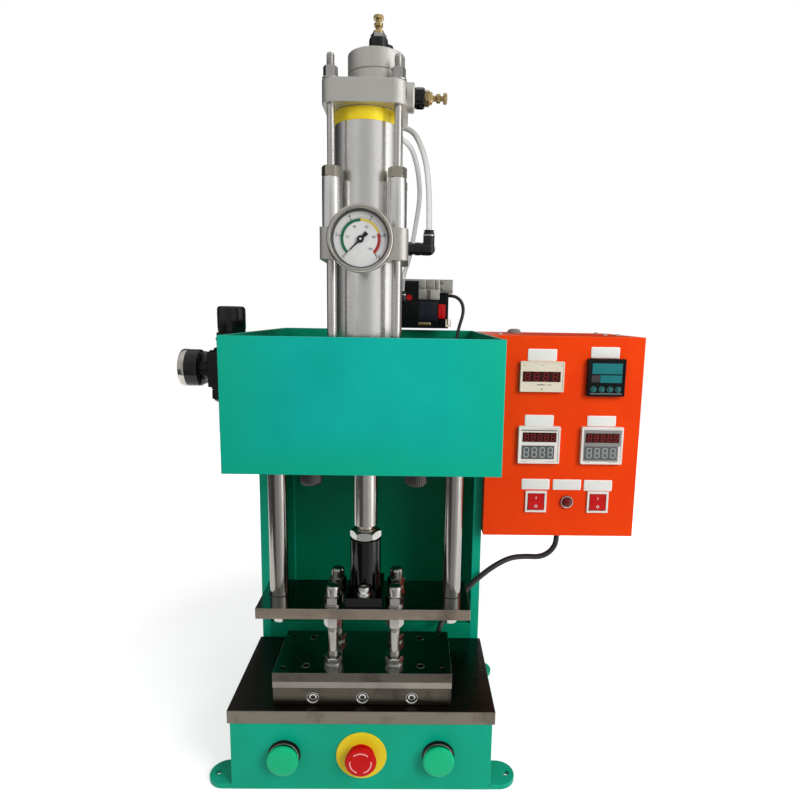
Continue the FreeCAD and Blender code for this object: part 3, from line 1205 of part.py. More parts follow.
def button_head(x):
    """Mushroom head on its stem, out by its travel."""
    gap = BUTTON_TRAVEL + BUTTON_FIT
    seat = Vector(x, FRONT - BUTTON_COLLAR_THICK - gap, BUTTON_HEIGHT)
    head = rod(BUTTON_HEAD_RADIUS, seat, FORWARD, BUTTON_HEAD_THICK)
    front_y = seat.y - BUTTON_HEAD_THICK
    rim = [edge for edge in head.Edges
           if edge.BoundBox.YLength < 1e-6 and abs(edge.BoundBox.YMin - front_y) < 1e-6]
    head = head.makeFillet(BUTTON_HEAD_THICK / 3, rim)
    stem = rod(BUTTON_STEM_RADIUS, seat, BACKWARD, BUTTON_COLLAR_THICK + BUTTON_BARREL_LENGTH)
    return head.fuse(stem)


def ram_rod():
    """Ground rod with its threaded neck, and the ram piston on its top."""
    neck = rod(NECK_RADIUS, Vector(0, PRESS_Y, COUPLING_TOP - COUPLING_HEIGHT / 2), UP,
               NECK_LENGTH + COUPLING_HEIGHT / 2)
    bar = rod(ROD_RADIUS, Vector(0, PRESS_Y, ROD_BOTTOM), UP, PISTON_BOTTOM - ROD_BOTTOM)
    piston = rod(LOWER_BORE_RADIUS - SLIDE_FIT, Vector(0, PRESS_Y, PISTON_BOTTOM), UP, PISTON_THICK)
    return bar.fuse([neck, piston])


def ram_coupling():
    """Black coupling: a flange screwed to the plate and a barrel that holds the rod's neck."""
    flange = centred_box(0, PRESS_Y, COUPLING_FLANGE_WIDTH, COUPLING_FLANGE_DEPTH,
                         PLATE_TOP, COUPLING_BOTTOM)
    tower = rod(COUPLING_RADIUS, Vector(0, PRESS_Y, COUPLING_BOTTOM), UP, COUPLING_HEIGHT)
    tower = soften_rim(tower, COUPLING_ROUND, COUPLING_TOP)
    bore = rod(NECK_RADIUS + SCREW_FIT, Vector(0, PRESS_Y, COUPLING_TOP), DOWN, COUPLING_HEIGHT / 2)
    holes = [bore]
    for y in (-COUPLING_SCREW_SPACING / 2, COUPLING_SCREW_SPACING / 2):
        foot = Vector(0, PRESS_Y + y, PLATE_TOP)
        holes.append(rod(COUPLING_SCREW_RADIUS + SCREW_FIT, foot, UP, COUPLING_FLANGE_THICK))
    return drilled(flange.fuse(tower), holes)


def moving_plate():
    """Ground plate that joins the ram, the two posts and the four studs."""
    plate = centred_box(0, PRESS_Y, PLATE_WIDTH, PLATE_DEPTH, PLATE_BOTTOM, PLATE_TOP)
    holes = []
    for x in (-POST_SPACING / 2, POST_SPACING / 2):
        holes.append(rod(POST_STUD_RADIUS + SCREW_FIT, Vector(x, PRESS_Y, PLATE_BOTTOM), UP, PLATE_THICK))
    for x, y in corners(STUD_SPACING_X, STUD_SPACING_Y):
        holes.append(rod(STUD_RADIUS + SCREW_FIT, Vector(x, PRESS_Y + y, PLATE_BOTTOM), UP, PLATE_THICK))
    for y in (-COUPLING_SCREW_SPACING / 2, COUPLING_SCREW_SPACING / 2):
        foot = Vector(0, PRESS_Y + y, PLATE_BOTTOM)
        holes.append(rod(COUPLING_SCREW_RADIUS + SCREW_FIT, foot, UP, PLATE_THICK))
    return drilled(plate, holes)


def guide_posts():
    """Ground posts on the moving plate, bored below for their studs."""
    posts = []
    for x in (-POST_SPACING / 2, POST_SPACING / 2):
        foot = Vector(x, PRESS_Y, PLATE_TOP)
        post = rod(POST_RADIUS, foot, UP, FLOOR_TOP + POST_TOP_ABOVE_FLOOR - PLATE_TOP)
        posts.append(post.cut(rod(POST_STUD_RADIUS + SCREW_FIT, foot, UP, POST_STUD_DEPTH)))
    return posts


def stud_stack(x, y):
    """One stud from the die's top plate through the moving plate, with its nuts, washers and domed nut."""
    bottom = DIE_TOP_BOTTOM + SCREW_FIT
    lower_nut = DIE_TOP + WASHER_THICK
    upper_nut = PLATE_TOP + WASHER_THICK
    top = upper_nut + UPPER_NUT_HEIGHT
    stud = rod(STUD_RADIUS, Vector(x, y, bottom), UP, top - bottom)
    bore = rod(STUD_RADIUS + SCREW_FIT, Vector(x, y, bottom), UP, top - bottom)
    rings = [rod(WASHER_RADIUS, Vector(x, y, DIE_TOP), UP, WASHER_THICK),
             hexagon(STUD_NUT_FLATS, Vector(x, y, lower_nut), UP, LOWER_NUT_HEIGHT),
             hexagon(STUD_NUT_FLATS, Vector(x, y, PLATE_BOTTOM), DOWN, UNDER_NUT_HEIGHT),
             rod(WASHER_RADIUS, Vector(x, y, PLATE_TOP), UP, WASHER_THICK),
             hexagon(STUD_NUT_FLATS, Vector(x, y, upper_nut), UP, UPPER_NUT_HEIGHT)]
    dome = rod(DOME_RADIUS, Vector(x, y, top), UP, DOME_HEIGHT)
    dome = soften_rim(dome, DOME_RADIUS * 0.6, top + DOME_HEIGHT)
    return [stud] + [ring.cut(bore) for ring in rings] + [dome]


def die_studs():
    """Four studs that carry the die stack under the moving plate."""
    pieces = []
    for x, y in corners(STUD_SPACING_X, STUD_SPACING_Y):
        pieces.extend(stud_stack(x, PRESS_Y + y))
    return pieces


def plate_screws():
    """Jam nut on the neck, the coupling's screws with washers, and the posts' studs with long nuts."""
    neck = Vector(0, PRESS_Y, COUPLING_TOP)
    nut = hexagon(JAM_NUT_FLATS, neck, UP, JAM_NUT_HEIGHT)
    pieces = [nut.cut(rod(NECK_RADIUS + SCREW_FIT, neck, UP, JAM_NUT_HEIGHT))]
    for y in (-COUPLING_SCREW_SPACING / 2, COUPLING_SCREW_SPACING / 2):
        seat = Vector(0, PRESS_Y + y, COUPLING_BOTTOM)
        washer = rod(COUPLING_WASHER_RADIUS, seat, UP, WASHER_THICK)
        washer = washer.cut(rod(COUPLING_SCREW_RADIUS + SCREW_FIT, seat, UP, WASHER_THICK))
        head_seat = seat + UP * WASHER_THICK
        head = rod(COUPLING_SCREW_HEAD_RADIUS, head_seat, UP, COUPLING_SCREW_HEAD_HEIGHT)
        top = head_seat + UP * COUPLING_SCREW_HEAD_HEIGHT
        head = head.cut(hexagon(COUPLING_SCREW_SOCKET_FLATS, top, DOWN, COUPLING_SCREW_HEAD_HEIGHT / 2))
        length = WASHER_THICK + COUPLING_FLANGE_THICK + PLATE_THICK - SCREW_FIT
        pieces.append(washer)
        pieces.append(head.fuse(rod(COUPLING_SCREW_RADIUS, head_seat, DOWN, length)))
    for x in (-POST_SPACING / 2, POST_SPACING / 2):
        seat = Vector(x, PRESS_Y, PLATE_BOTTOM)
        nut = hexagon(POST_NUT_FLATS, seat, DOWN, POST_NUT_LENGTH)
        pieces.append(nut.fuse(rod(POST_STUD_RADIUS, seat, UP, PLATE_THICK + POST_STUD_DEPTH - SCREW_FIT)))
    return pieces


def die_plate(bottom, thick, inset):
    """One rectangular layer of the die stack."""
    half = DIE_WIDTH / 2 - inset
    return box(-half, half, DIE_FRONT + inset, DIE_BACK - inset, bottom, bottom + thick)


def die_top_plate():
    """Top layer with holes for the studs, four spare tapped holes and four small ones at the corners."""
    plate = die_plate(DIE_TOP_BOTTOM, DIE_TOP_THICK, 0)
    holes = []
    for x, y in corners(STUD_SPACING_X, STUD_SPACING_Y):
        holes.append(rod(STUD_RADIUS + SCREW_FIT, Vector(x, PRESS_Y + y, DIE_TOP_BOTTOM), UP, DIE_TOP_THICK))
    for x, y in corners(DIE_HOLE_SPACING_X, DIE_HOLE_SPACING_Y):
        holes.append(rod(DIE_HOLE_RADIUS, Vector(x, DIE_Y + y, DIE_TOP_BOTTOM), UP, DIE_TOP_THICK))
    for x, y in corners(CORNER_HOLE_SPACING_X, CORNER_HOLE_SPACING_Y):
        holes.append(rod(CORNER_HOLE_RADIUS, Vector(x, DIE_Y + y, DIE_TOP_BOTTOM), UP, DIE_TOP_THICK))
    return drilled(plate, holes)


def heater_positions():
    """Y of each cartridge heater's axis."""
    return [DIE_FRONT + setback for setback in HEATER_SETBACKS]


def heater_block():
    """Heated block with blind bores for the cartridges and recesses for the clamp screws."""
    block = die_plate(BLOCK_BOTTOM, BLOCK_HEIGHT, BLOCK_INSET)
    right = DIE_WIDTH / 2 - BLOCK_INSET
    z = BLOCK_BOTTOM + BLOCK_HEIGHT / 2
    holes = [rod(HEATER_RADIUS + SCREW_FIT, Vector(right, y, z), LEFT, HEATER_LENGTH + SCREW_FIT)
             for y in heater_positions()]
    front = DIE_FRONT + BLOCK_INSET
    for x in (-CLAMP_SCREW_SPACING, 0, CLAMP_SCREW_SPACING):
        face = Vector(x, front, BLOCK_BOTTOM + CLAMP_SCREW_UP)
        holes.append(rod(CLAMP_RECESS_RADIUS, face, BACKWARD, CLAMP_RECESS_DEPTH))
        depth = CLAMP_SCREW_LENGTH + CLAMP_RECESS_DEPTH
        holes.append(rod(CLAMP_SCREW_RADIUS + SCREW_FIT, face, BACKWARD, depth))
    return drilled(block, holes)


def cartridge_heaters():
    """Cartridge heaters in the block, its clamp screws, and the hexagon boss where the lead enters."""
    right = DIE_WIDTH / 2 - BLOCK_INSET
    z = BLOCK_BOTTOM + BLOCK_HEIGHT / 2
    pieces = [rod(HEATER_RADIUS, Vector(right, y, z), LEFT, HEATER_LENGTH) for y in heater_positions()]
    front = DIE_FRONT + BLOCK_INSET + CLAMP_HEAD_SUNK
    for x in (-CLAMP_SCREW_SPACING, 0, CLAMP_SCREW_SPACING):
        face = Vector(x, front, BLOCK_BOTTOM + CLAMP_SCREW_UP)
        screw = rod(CLAMP_SCREW_RADIUS, face, BACKWARD, CLAMP_SCREW_LENGTH)
        pieces.append(screw.cut(hexagon(CLAMP_SCREW_SOCKET_FLATS, face, BACKWARD, CLAMP_SCREW_RADIUS)))
    start = Vector(CABLE_EXIT_X, DIE_BACK, CABLE_END_Z)
    pieces.append(hexagon(CABLE_BOSS_FLATS, start, BACKWARD, CABLE_BOSS_LENGTH))
    return pieces


def booster_piston():
    """Booster piston with the plunger that reaches down through the middle flange."""
    bottom = MIDDLE_TOP + BOOSTER_END_GAP
    piston = rod(UPPER_BORE_RADIUS - SLIDE_FIT, Vector(0, PRESS_Y, bottom), UP, BOOSTER_PISTON_THICK)
    return piston.fuse(rod(PLUNGER_RADIUS, Vector(0, PRESS_Y, bottom), DOWN, PLUNGER_LENGTH))


def main():
    """Builds every node and writes one file for each."""
    left = PANEL_X - PANEL_COLUMN_PITCH
    right = PANEL_X + PANEL_COLUMN_PITCH
    nodes = {
        "base_box": base_box(),
        "mounting_lugs": mounting_lugs(),
        "bottom_cover": bottom_cover(),
        "bed_plate": bed_plate(),
        "column": column(),
        "head_walls": head_walls(),
        "head_floor_plate": head_floor_plate(),
        "guide_bushes": guide_bushes(),
        "cylinder_fasteners": cylinder_fasteners(),
        "cylinder_base_flange": cylinder_base_flange(),
        "lower_barrel": barrel(CYLINDER_FLOOR, LOWER_BARREL_LENGTH, LOWER_BORE_RADIUS),
        "middle_flange": middle_flange(),
        "upper_barrel": barrel(MIDDLE_TOP, UPPER_BARREL_LENGTH, UPPER_BORE_RADIUS),
        "top_flange": top_flange(),
        "top_cap": top_cap(),
        "tie_rods": tie_rods(),
        "gauge_case": gauge_case(),
        "gauge_dial": gauge_dial(),
        "air_fittings": air_fittings(),
        "air_tube_front": route_tube("air_tube_front", TUBE_RADIUS, front_tube_points()),
        "air_tube_rear": route_tube("air_tube_rear", TUBE_RADIUS, rear_tube_points()),
        "valve_body": valve_body(),
        "valve_blocks": valve_blocks(),
        "valve_lead": route_tube("valve_lead", LEAD_RADIUS, valve_lead_points()),
        "regulator_body": regulator_body(),
        "regulator_gauge": regulator_gauge(),
        "control_box": control_box(),
        "control_box_lid": control_box_lid(),
        "temperature_controller": temperature_controller(),
        "counter_and_timers": counter_and_timers(),
        "panel_fittings": panel_fittings(),
        "cable_glands": cable_glands(),
        "relay_and_terminals": relay_and_terminals(),
        "heater_cable": route_tube("heater_cable", CABLE_RADIUS, heater_cable_points()),
        "button_bases": button_bases(),
        "ram_rod": ram_rod(),
        "ram_coupling": ram_coupling(),
        "moving_plate": moving_plate(),
        "guide_posts": guide_posts(),
        "die_studs": die_studs(),
        "plate_screws": plate_screws(),
        "die_top_plate": die_top_plate(),
        "insulation_plate": die_plate(INSULATION_BOTTOM, INSULATION_THICK, 0),
        "heater_block": heater_block(),
        "cartridge_heaters": cartridge_heaters(),
        "gauge_needle": gauge_needle(),
        "regulator_needle": regulator_needle(),
        "regulator_knob": regulator_knob(),
        "throttle_screw_top": throttle_screw(top_throttle_foot(), UP),
        "throttle_screw_side": throttle_screw(side_throttle_foot(), RIGHT),
        "rocker_left": rocker(left),
        "rocker_right": rocker(right),
        "button_left": button_head(-BUTTON_SPACING / 2),
        "button_right": button_head(BUTTON_SPACING / 2),
        "estop_head": button_head(0),
        "booster_piston": booster_piston(),
    }
    for number in range(4):
        nodes["controller_key_%d" % (number + 1)] = controller_key(number)

    os.makedirs("parts", exist_ok=True)
    for name, made in nodes.items():
        shape = Part.makeCompound(made) if isinstance(made, list) else made
        shape.exportStep("parts/" + name + ".step")
        if not shape.isValid():
            print("not valid:", name)
    print(len(nodes), "nodes")


main()
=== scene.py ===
# Air-driven embossing press, dressed for its portrait. Metres, X to the right, Y to the back, Z up,
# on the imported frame. Lengths written in millimetres are multiplied by MM.
import bmesh
import bpy
import math
from mathutils import Matrix, Vector


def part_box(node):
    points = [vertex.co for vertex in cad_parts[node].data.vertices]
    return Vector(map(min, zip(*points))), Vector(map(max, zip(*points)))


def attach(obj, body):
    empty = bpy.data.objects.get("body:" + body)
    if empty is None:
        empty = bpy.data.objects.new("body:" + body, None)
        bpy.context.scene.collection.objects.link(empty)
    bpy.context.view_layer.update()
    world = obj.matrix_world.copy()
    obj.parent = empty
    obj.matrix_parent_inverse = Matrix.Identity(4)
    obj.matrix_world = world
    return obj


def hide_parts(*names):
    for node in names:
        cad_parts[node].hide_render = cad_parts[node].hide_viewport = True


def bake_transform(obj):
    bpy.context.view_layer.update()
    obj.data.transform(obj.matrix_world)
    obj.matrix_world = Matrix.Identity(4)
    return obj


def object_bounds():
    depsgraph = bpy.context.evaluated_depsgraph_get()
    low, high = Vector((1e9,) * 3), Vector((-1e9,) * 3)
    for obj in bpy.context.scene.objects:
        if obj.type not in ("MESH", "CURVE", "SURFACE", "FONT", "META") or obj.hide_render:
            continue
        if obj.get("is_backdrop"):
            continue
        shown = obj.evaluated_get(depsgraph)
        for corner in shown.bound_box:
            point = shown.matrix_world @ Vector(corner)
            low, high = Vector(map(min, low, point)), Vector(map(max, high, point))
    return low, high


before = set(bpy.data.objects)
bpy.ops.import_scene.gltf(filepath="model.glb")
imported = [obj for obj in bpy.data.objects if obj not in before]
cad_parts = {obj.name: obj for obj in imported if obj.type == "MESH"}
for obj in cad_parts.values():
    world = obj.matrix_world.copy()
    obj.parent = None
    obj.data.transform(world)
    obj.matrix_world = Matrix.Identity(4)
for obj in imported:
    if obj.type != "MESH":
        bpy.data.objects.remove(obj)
low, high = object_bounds()

# Camera. Its place and turns were fitted to the corners of the body, the bed and the control box.
MM = 0.001
PICTURE = 800
FOCAL = 603.0
OPTICAL_CENTRE = (420.0, 408.1)
CAMERA_PLACE = Vector((50.0, -754.3, 547.8)) * MM
CAMERA_YAW = 0.01733
CAMERA_PITCH = 0.15461
CAMERA_ROLL = 0.01674


def new_object(name, data):
    """Makes an object of its data and puts it in the scene."""
    made = bpy.data.objects.new(name, data)
    bpy.context.collection.objects.link(made)
    return made


level = Vector((math.cos(CAMERA_YAW), -math.sin(CAMERA_YAW), 0))
gaze = Vector((math.sin(CAMERA_YAW), math.cos(CAMERA_YAW), 0)) * math.cos(CAMERA_PITCH)
gaze.z = -math.sin(CAMERA_PITCH)
upward = level.cross(gaze)
camera_right = level * math.cos(CAMERA_ROLL) + upward * math.sin(CAMERA_ROLL)
camera_up = upward * math.cos(CAMERA_ROLL) - level * math.sin(CAMERA_ROLL)
camera_data = bpy.data.cameras.new("portrait_camera")
camera_data.sensor_width = 36.0
camera_data.lens = camera_data.sensor_width * FOCAL / PICTURE
camera_data.shift_x = -(OPTICAL_CENTRE[0] - PICTURE / 2) / PICTURE
camera_data.shift_y = (OPTICAL_CENTRE[1] - PICTURE / 2) / PICTURE
camera = new_object("portrait_camera", camera_data)
turned_axes = Matrix((camera_right, camera_up, -gaze)).transposed().to_4x4()
camera.matrix_world = Matrix.Translation(CAMERA_PLACE) @ turned_axes
bpy.context.scene.camera = camera
bpy.context.scene.view_settings.view_transform = "Standard"


# Clear air tubes. Extruded polyurethane, pushed into the fittings at both ends, springy enough to hold
# one long curve each.
def feed(tree, sockets, inputs):
    """Sets sockets to values, or links them to other nodes' outputs."""
    for key, value in inputs.items():
        socket = sockets[key]
        if isinstance(value, bpy.types.NodeSocket):
            tree.links.new(value, socket)
        else:
            socket.default_value = (*value, 1.0) if socket.type == "RGBA" else value


def add(tree, kind, inputs=None, **settings):
    """Adds a shader node with its settings and what goes into its sockets."""
    made = tree.nodes.new("ShaderNode" + kind)
    for key, value in settings.items():
        setattr(made, key, value)
    feed(tree, made.inputs, inputs or {})
    return made


def calc(tree, operation, *values):
    """The result of a calculation with numbers or other nodes' outputs."""
    return add(tree, "Math", dict(enumerate(values)), operation=operation).outputs["Value"]


def effect(name, inputs, outputs):
    """Starts a shared node group, with float inputs and their defaults, and colour or float outputs."""
    group = bpy.data.node_groups.new(name, "ShaderNodeTree")
    for socket, value in inputs.items():
        made = group.interface.new_socket(socket, in_out="INPUT", socket_type="NodeSocketFloat")
        made.default_value = value
    for socket, kind in outputs.items():
        group.interface.new_socket(socket, in_out="OUTPUT", socket_type="NodeSocket" + kind)
    start = group.nodes.new("NodeGroupInput")
    end = group.nodes.new("NodeGroupOutput")
    return group, start.outputs, end.inputs


def speckle_effect():
    """Fine grain of a moulded or painted surface, with slow unevenness under it."""
    group, given, result = effect("speckle", {"Scale": 900.0}, {"Fine": "Float", "Slow": "Float"})
    place = add(group, "TexCoord").outputs["Object"]
    fine = add(group, "TexNoise", {"Vector": place, "Scale": given["Scale"], "Detail": 4.0})
    slow = add(group, "TexNoise", {"Vector": place, "Scale": 14.0, "Detail": 5.0, "Roughness": 0.6})
    feed(group, result, {"Fine": fine.outputs["Fac"], "Slow": slow.outputs["Fac"]})
    return group


SPECKLE = speckle_effect()


def grain(tree, scale):
    """The fine and the slow part of the speckle effect at a scale."""
    made = add(tree, "Group", {"Scale": scale}, node_tree=SPECKLE)
    return made.outputs["Fine"], made.outputs["Slow"]


def new_material(name):
    """A material with a fresh Principled shader."""
    made = bpy.data.materials.new(name)
    made.use_nodes = True
    made.node_tree.nodes.clear()
    shader = add(made.node_tree, "BsdfPrincipled")
    add(made.node_tree, "OutputMaterial", {"Surface": shader.outputs["BSDF"]})
    return made, made.node_tree, shader.inputs


def between(tree, factor, first, second):
    """Mixes two colours by a factor."""
    mixed = add(tree, "Mix", {0: factor, 6: first, 7: second}, data_type="RGBA")
    return mixed.outputs[2]


def remap(tree, value, low_in, high_in, low_out, high_out):
    """Maps one range of values on another and stays inside it."""
    sockets = {"Value": value, "From Min": low_in, "From Max": high_in, "To Min": low_out, "To Max": high_out}
    return add(tree, "MapRange", sockets).outputs["Result"]


def tube_material():
    """Clear plastic: open in the middle of the tube, denser towards its sides."""
    made, tree, shader = new_material("clear_tube")
    fine, slow = grain(tree, 300.0)
    facing = add(tree, "LayerWeight", {"Blend": 0.35}).outputs["Facing"]
    tint = between(tree, slow, (0.62, 0.63, 0.62), (0.78, 0.79, 0.78))
    tint = between(tree, remap(tree, facing, 0.25, 0.7, 0.0, 1.0), tint, (0.26, 0.27, 0.27))
    feed(tree, shader, {"Base Color": tint, "Alpha": remap(tree, facing, 0.0, 0.6, 0.38, 0.95),
                        "Roughness": remap(tree, fine, 0.3, 0.7, 0.08, 0.2), "Specular IOR Level": 0.9})
    return made


FRONT_TUBE_ROUTE = [
    (68.5, -70, 638.75), (68.5, -70, 655.75), (67.5, -64.5, 687.5), (64, -54, 716),
    (56, -41, 740), (49.5, -29, 752), (42.25, -20.25, 758), (35, -15.25, 761),
    (27, -12, 763), (17, -9.8, 764.2), (6, -9.8, 764.2)]
REAR_TUBE_ROUTE = [
    (37, 149, 581), (37, 149, 591), (39, 145.5, 606), (47.5, 129.5, 627.5),
    (55, 99.5, 669.5), (60, 73.5, 700), (57, 46, 724), (51, 27, 743),
    (43.75, 16, 750.75), (35.75, 9.5, 755), (26.5, 5.25, 757.25), (16, 3.3, 758), (6, 3.3, 758)]
TUBE_RADIUS = 3.0 * MM


def route_curve(name, route, radius):
    """A smooth open curve with a route's points as its control points."""
    data = bpy.data.curves.new(name, "CURVE")
    data.dimensions = "3D"
    data.resolution_u = 10
    spline = data.splines.new("NURBS")
    spline.points.add(len(route) - 1)
    for point, place in zip(spline.points, route):
        point.co = (*(Vector(place) * MM), 1.0)
    spline.order_u = 3
    spline.use_endpoint_u = True
    data.bevel_depth = radius
    data.bevel_resolution = 6
    data.use_fill_caps = True
    return new_object(name, data)


clear_tube = tube_material()
for name, route, length in (("air_tube_front", FRONT_TUBE_ROUTE, 0.178),
                            ("air_tube_rear", REAR_TUBE_ROUTE, 0.267)):
    tube = route_curve(name + "_hose", route, TUBE_RADIUS)
    tube.data.materials.append(clear_tube)
    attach(tube, "frame")
    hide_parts(name)


# Valve lead. Round black rubber lead from the valve's plug in a loop down to the head's wall.
VALVE_LEAD_ROUTE = [
    (106, 177, 576), (114.5, 177, 576), (122.5, 176.5, 572), (128.5, 176, 564),
    (130, 174, 550), (121.5, 168, 524.5), (117, 159, 491), (117, 152, 463),
    (120.5, 147, 443), (128, 144, 433), (136.5, 143, 429), (145, 143, 429)]
LEAD_RADIUS = 2.5 * MM


def bump_normal(tree, strength, distance, height, normal=None):
    """A normal bent by a height, on top of another normal where one is given."""
    inputs = {"Strength": strength, "Distance": distance, "Height": height}
    if normal:
        inputs["Normal"] = normal
    return add(tree, "Bump", inputs).outputs["Normal"]


def rubber_material():
    """Black cable jacket: faint grain, dulled in patches."""
    made, tree, shader = new_material("black_rubber")
    fine, slow = grain(tree, 1500.0)
    feed(tree, shader, {"Base Color": between(tree, slow, (0.010, 0.010, 0.011), (0.022, 0.022, 0.023)),
                        "Roughness": remap(tree, slow, 0.3, 0.7, 0.28, 0.5),
                        "Normal": bump_normal(tree, 0.15, 0.0002, fine)})
    return made


black_rubber = rubber_material()
valve_lead = route_curve("valve_lead_jacket", VALVE_LEAD_ROUTE, LEAD_RADIUS)
valve_lead.data.materials.append(black_rubber)
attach(valve_lead, "frame")
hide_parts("valve_lead")


# Heater cable. Thick black rubber cable from the control box's gland, over and down to the boss behind the
# die block. The real cable follows the boss when the ram rises; this one is fixed in place.
HEATER_CABLE_ROUTE = [
    (257, 46, 247), (257, 46, 237), (253.5, 46, 228), (246, 45.5, 220),
    (234, 44.5, 215), (214.5, 43, 216.5), (192, 37, 217), (168, 28, 208),
    (147, 20, 195), (129, 17, 178), (114.5, 18, 158), (106.5, 20, 144.5),
    (100, 16.5, 135.5), (95, 9, 129), (92, -1, 125.25), (92, -12, 125.25)]
CABLE_RADIUS = 3.75 * MM


def mesh_piece(name, bm, materials, crease=35.0, body="frame", node=None):
    """Makes an object of a bmesh, smooth except at its sharp edges, on its body and in place of its node."""
    mesh = bpy.data.meshes.new(name)
    bm.to_mesh(mesh)
    bm.free()
    for polygon in mesh.polygons:
        polygon.use_smooth = True
    mesh.set_sharp_from_angle(angle=math.radians(crease))
    for material in materials:
        mesh.materials.append(material)
    piece = new_object(name, mesh)
    if body:
        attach(piece, body)
    if node:
        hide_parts(node)
    return piece


guide = route_curve("heater_cable_line", HEATER_CABLE_ROUTE, 0.0)
line = bpy.data.meshes.new_from_object(guide)
cable_points = [vertex.co.copy() for vertex in line.vertices]
guide.data.bevel_depth = CABLE_RADIUS
cable_bm = bmesh.new()
cable_bm.from_mesh(bpy.data.meshes.new_from_object(guide))
bmesh.ops.remove_doubles(cable_bm, verts=cable_bm.verts, dist=0.00001)
bmesh.ops.recalc_face_normals(cable_bm, faces=cable_bm.faces)
bpy.data.meshes.remove(line)
bpy.data.objects.remove(guide)
heater_cable = mesh_piece("heater_cable_jacket", cable_bm, [black_rubber], 60.0, body=None)
tuple(cable_points[0])
tuple(cable_points[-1])
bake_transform(heater_cable)
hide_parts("heater_cable")
tuple(cable_points[0])


# Welded base box. Steel plate with green enamel sprayed over it, its corners slightly rounded.
def worn_edges_effect():
    """Softened normals at sharp edges, and a mask of the places where those edges wear."""
    group, given, result = effect("worn_edges", {"Radius": 0.0008, "Break Up": 0.5},
                                  {"Normal": "Vector", "Worn": "Float"})
    soft = add(group, "Bevel", {"Radius": given["Radius"]}, samples=6).outputs["Normal"]
    flat = add(group, "NewGeometry").outputs["Normal"]
    turned_by = add(group, "VectorMath", {0: soft, 1: flat}, operation="DOT_PRODUCT").outputs["Value"]
    place = add(group, "TexCoord").outputs["Object"]
    patches = add(group, "TexNoise", {"Vector": place, "Scale": 60.0, "Detail": 5.0}).outputs["Fac"]
    needed = calc(group, "MULTIPLY_ADD", patches, given["Break Up"], 0.45)
    worn = calc(group, "MULTIPLY", remap(group, turned_by, 0.995, 0.9, 0.0, 1.0), needed)
    feed(group, result, {"Normal": soft, "Worn": worn})
    return group


WORN_EDGES = worn_edges_effect()


def wear(tree, radius):
    """The softened normal and the mask of worn edges at a radius."""
    made = add(tree, "Group", {"Radius": radius}, node_tree=WORN_EDGES)
    return made.outputs["Normal"], made.outputs["Worn"]


def coat(name, first, second, roughness, scale, strength, distance, radius, edge=None, specular=0.25):
    """A cloudy coat or plastic with grain in its skin, and another colour where its edges are rubbed."""
    made, tree, shader = new_material(name)
    fine, slow = grain(tree, scale)
    soft, worn = wear(tree, radius)
    tint = between(tree, remap(tree, slow, 0.35, 0.65, 0.0, 1.0), first, second)
    if edge:
        tint = between(tree, worn, tint, edge)
    feed(tree, shader, {"Base Color": tint,
                        "Roughness": remap(tree, slow, 0.3, 0.7, roughness - 0.06, roughness + 0.08),
                        "Normal": bump_normal(tree, strength, distance, fine, soft),
                        "Specular IOR Level": specular})
    return made


def enamel(name, first, second, edge, roughness):
    """Sprayed enamel: cloudy colour, orange-peel skin, paler where the edges have been rubbed."""
    return coat(name, first, second, roughness, 420.0, 0.12, 0.0003, 0.0009, edge, 0.14)


green_enamel = enamel("green_enamel", (0.001, 0.320, 0.190), (0.002, 0.370, 0.235), (0.10, 0.52, 0.40), 0.34)


def rounding(piece, width):
    """Rounds a piece's sharp edges with a modifier."""
    bevel = piece.modifiers.new("rounding", "BEVEL")
    bevel.width = width
    bevel.segments = 2
    bevel.limit_method = "ANGLE"
    bevel.angle_limit = math.radians(40.0)
    bevel.harden_normals = True


def rounded_copy(node, width, materials, body="frame"):
    """A merged copy of a CAD node with its sharp edges rounded, which stands for the node."""
    bm = bmesh.new()
    bm.from_mesh(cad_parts[node].data)
    bmesh.ops.remove_doubles(bm, verts=bm.verts, dist=0.00001)
    bmesh.ops.dissolve_limit(bm, angle_limit=math.radians(0.5), verts=bm.verts, edges=bm.edges)
    piece = mesh_piece(node + "_finished", bm, materials, 30.0, body, node)
    if width:
        rounding(piece, width)
    return piece


def mark_faces(piece, rule):
    """Gives each face the material number that a rule names from its middle and its direction."""
    for polygon in piece.data.polygons:
        polygon.material_index = rule(polygon.center / MM, polygon.normal)


base_low, base_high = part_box("base_box")
rounded_copy("base_box", 1.2 * MM, [green_enamel])
rounded_copy("mounting_lugs", 0.8 * MM, [green_enamel])


def join(bm, part):
    """Puts one bmesh into another and frees it."""
    mesh = bpy.data.meshes.new("shape")
    part.to_mesh(mesh)
    part.free()
    bm.from_mesh(mesh)
    bpy.data.meshes.remove(mesh)


def add_shape(bm, part, mark=0):
    """Puts a finished closed shape into a piece, its faces pointing outwards, with its material's number."""
    bmesh.ops.remove_doubles(part, verts=part.verts, dist=0.000001)
    bmesh.ops.recalc_face_normals(part, faces=part.faces)
    if part.calc_volume(signed=True) < 0:
        bmesh.ops.reverse_faces(part, faces=part.faces)
    for face in part.faces:
        face.material_index = mark
    join(bm, part)


def bead(bm, start, end, radius, ripple=2.6 * MM):
    """A weld bead: a row of overlapping scales along a corner, half sunk in it."""
    start = Vector(start)
    end = Vector(end)
    count = max(3, int((end - start).length / ripple))
    aim = (end - start).to_track_quat("Z", "Y").to_matrix().to_4x4() @ Matrix.Diagonal((1.0, 1.0, 0.85, 1.0))
    for number in range(count + 1):
        place = Matrix.Translation(start.lerp(end, number / count)) @ aim
        part = bmesh.new()
        bmesh.ops.create_uvsphere(part, u_segments=10, v_segments=6, radius=radius, matrix=place)
        add_shape(bm, part)


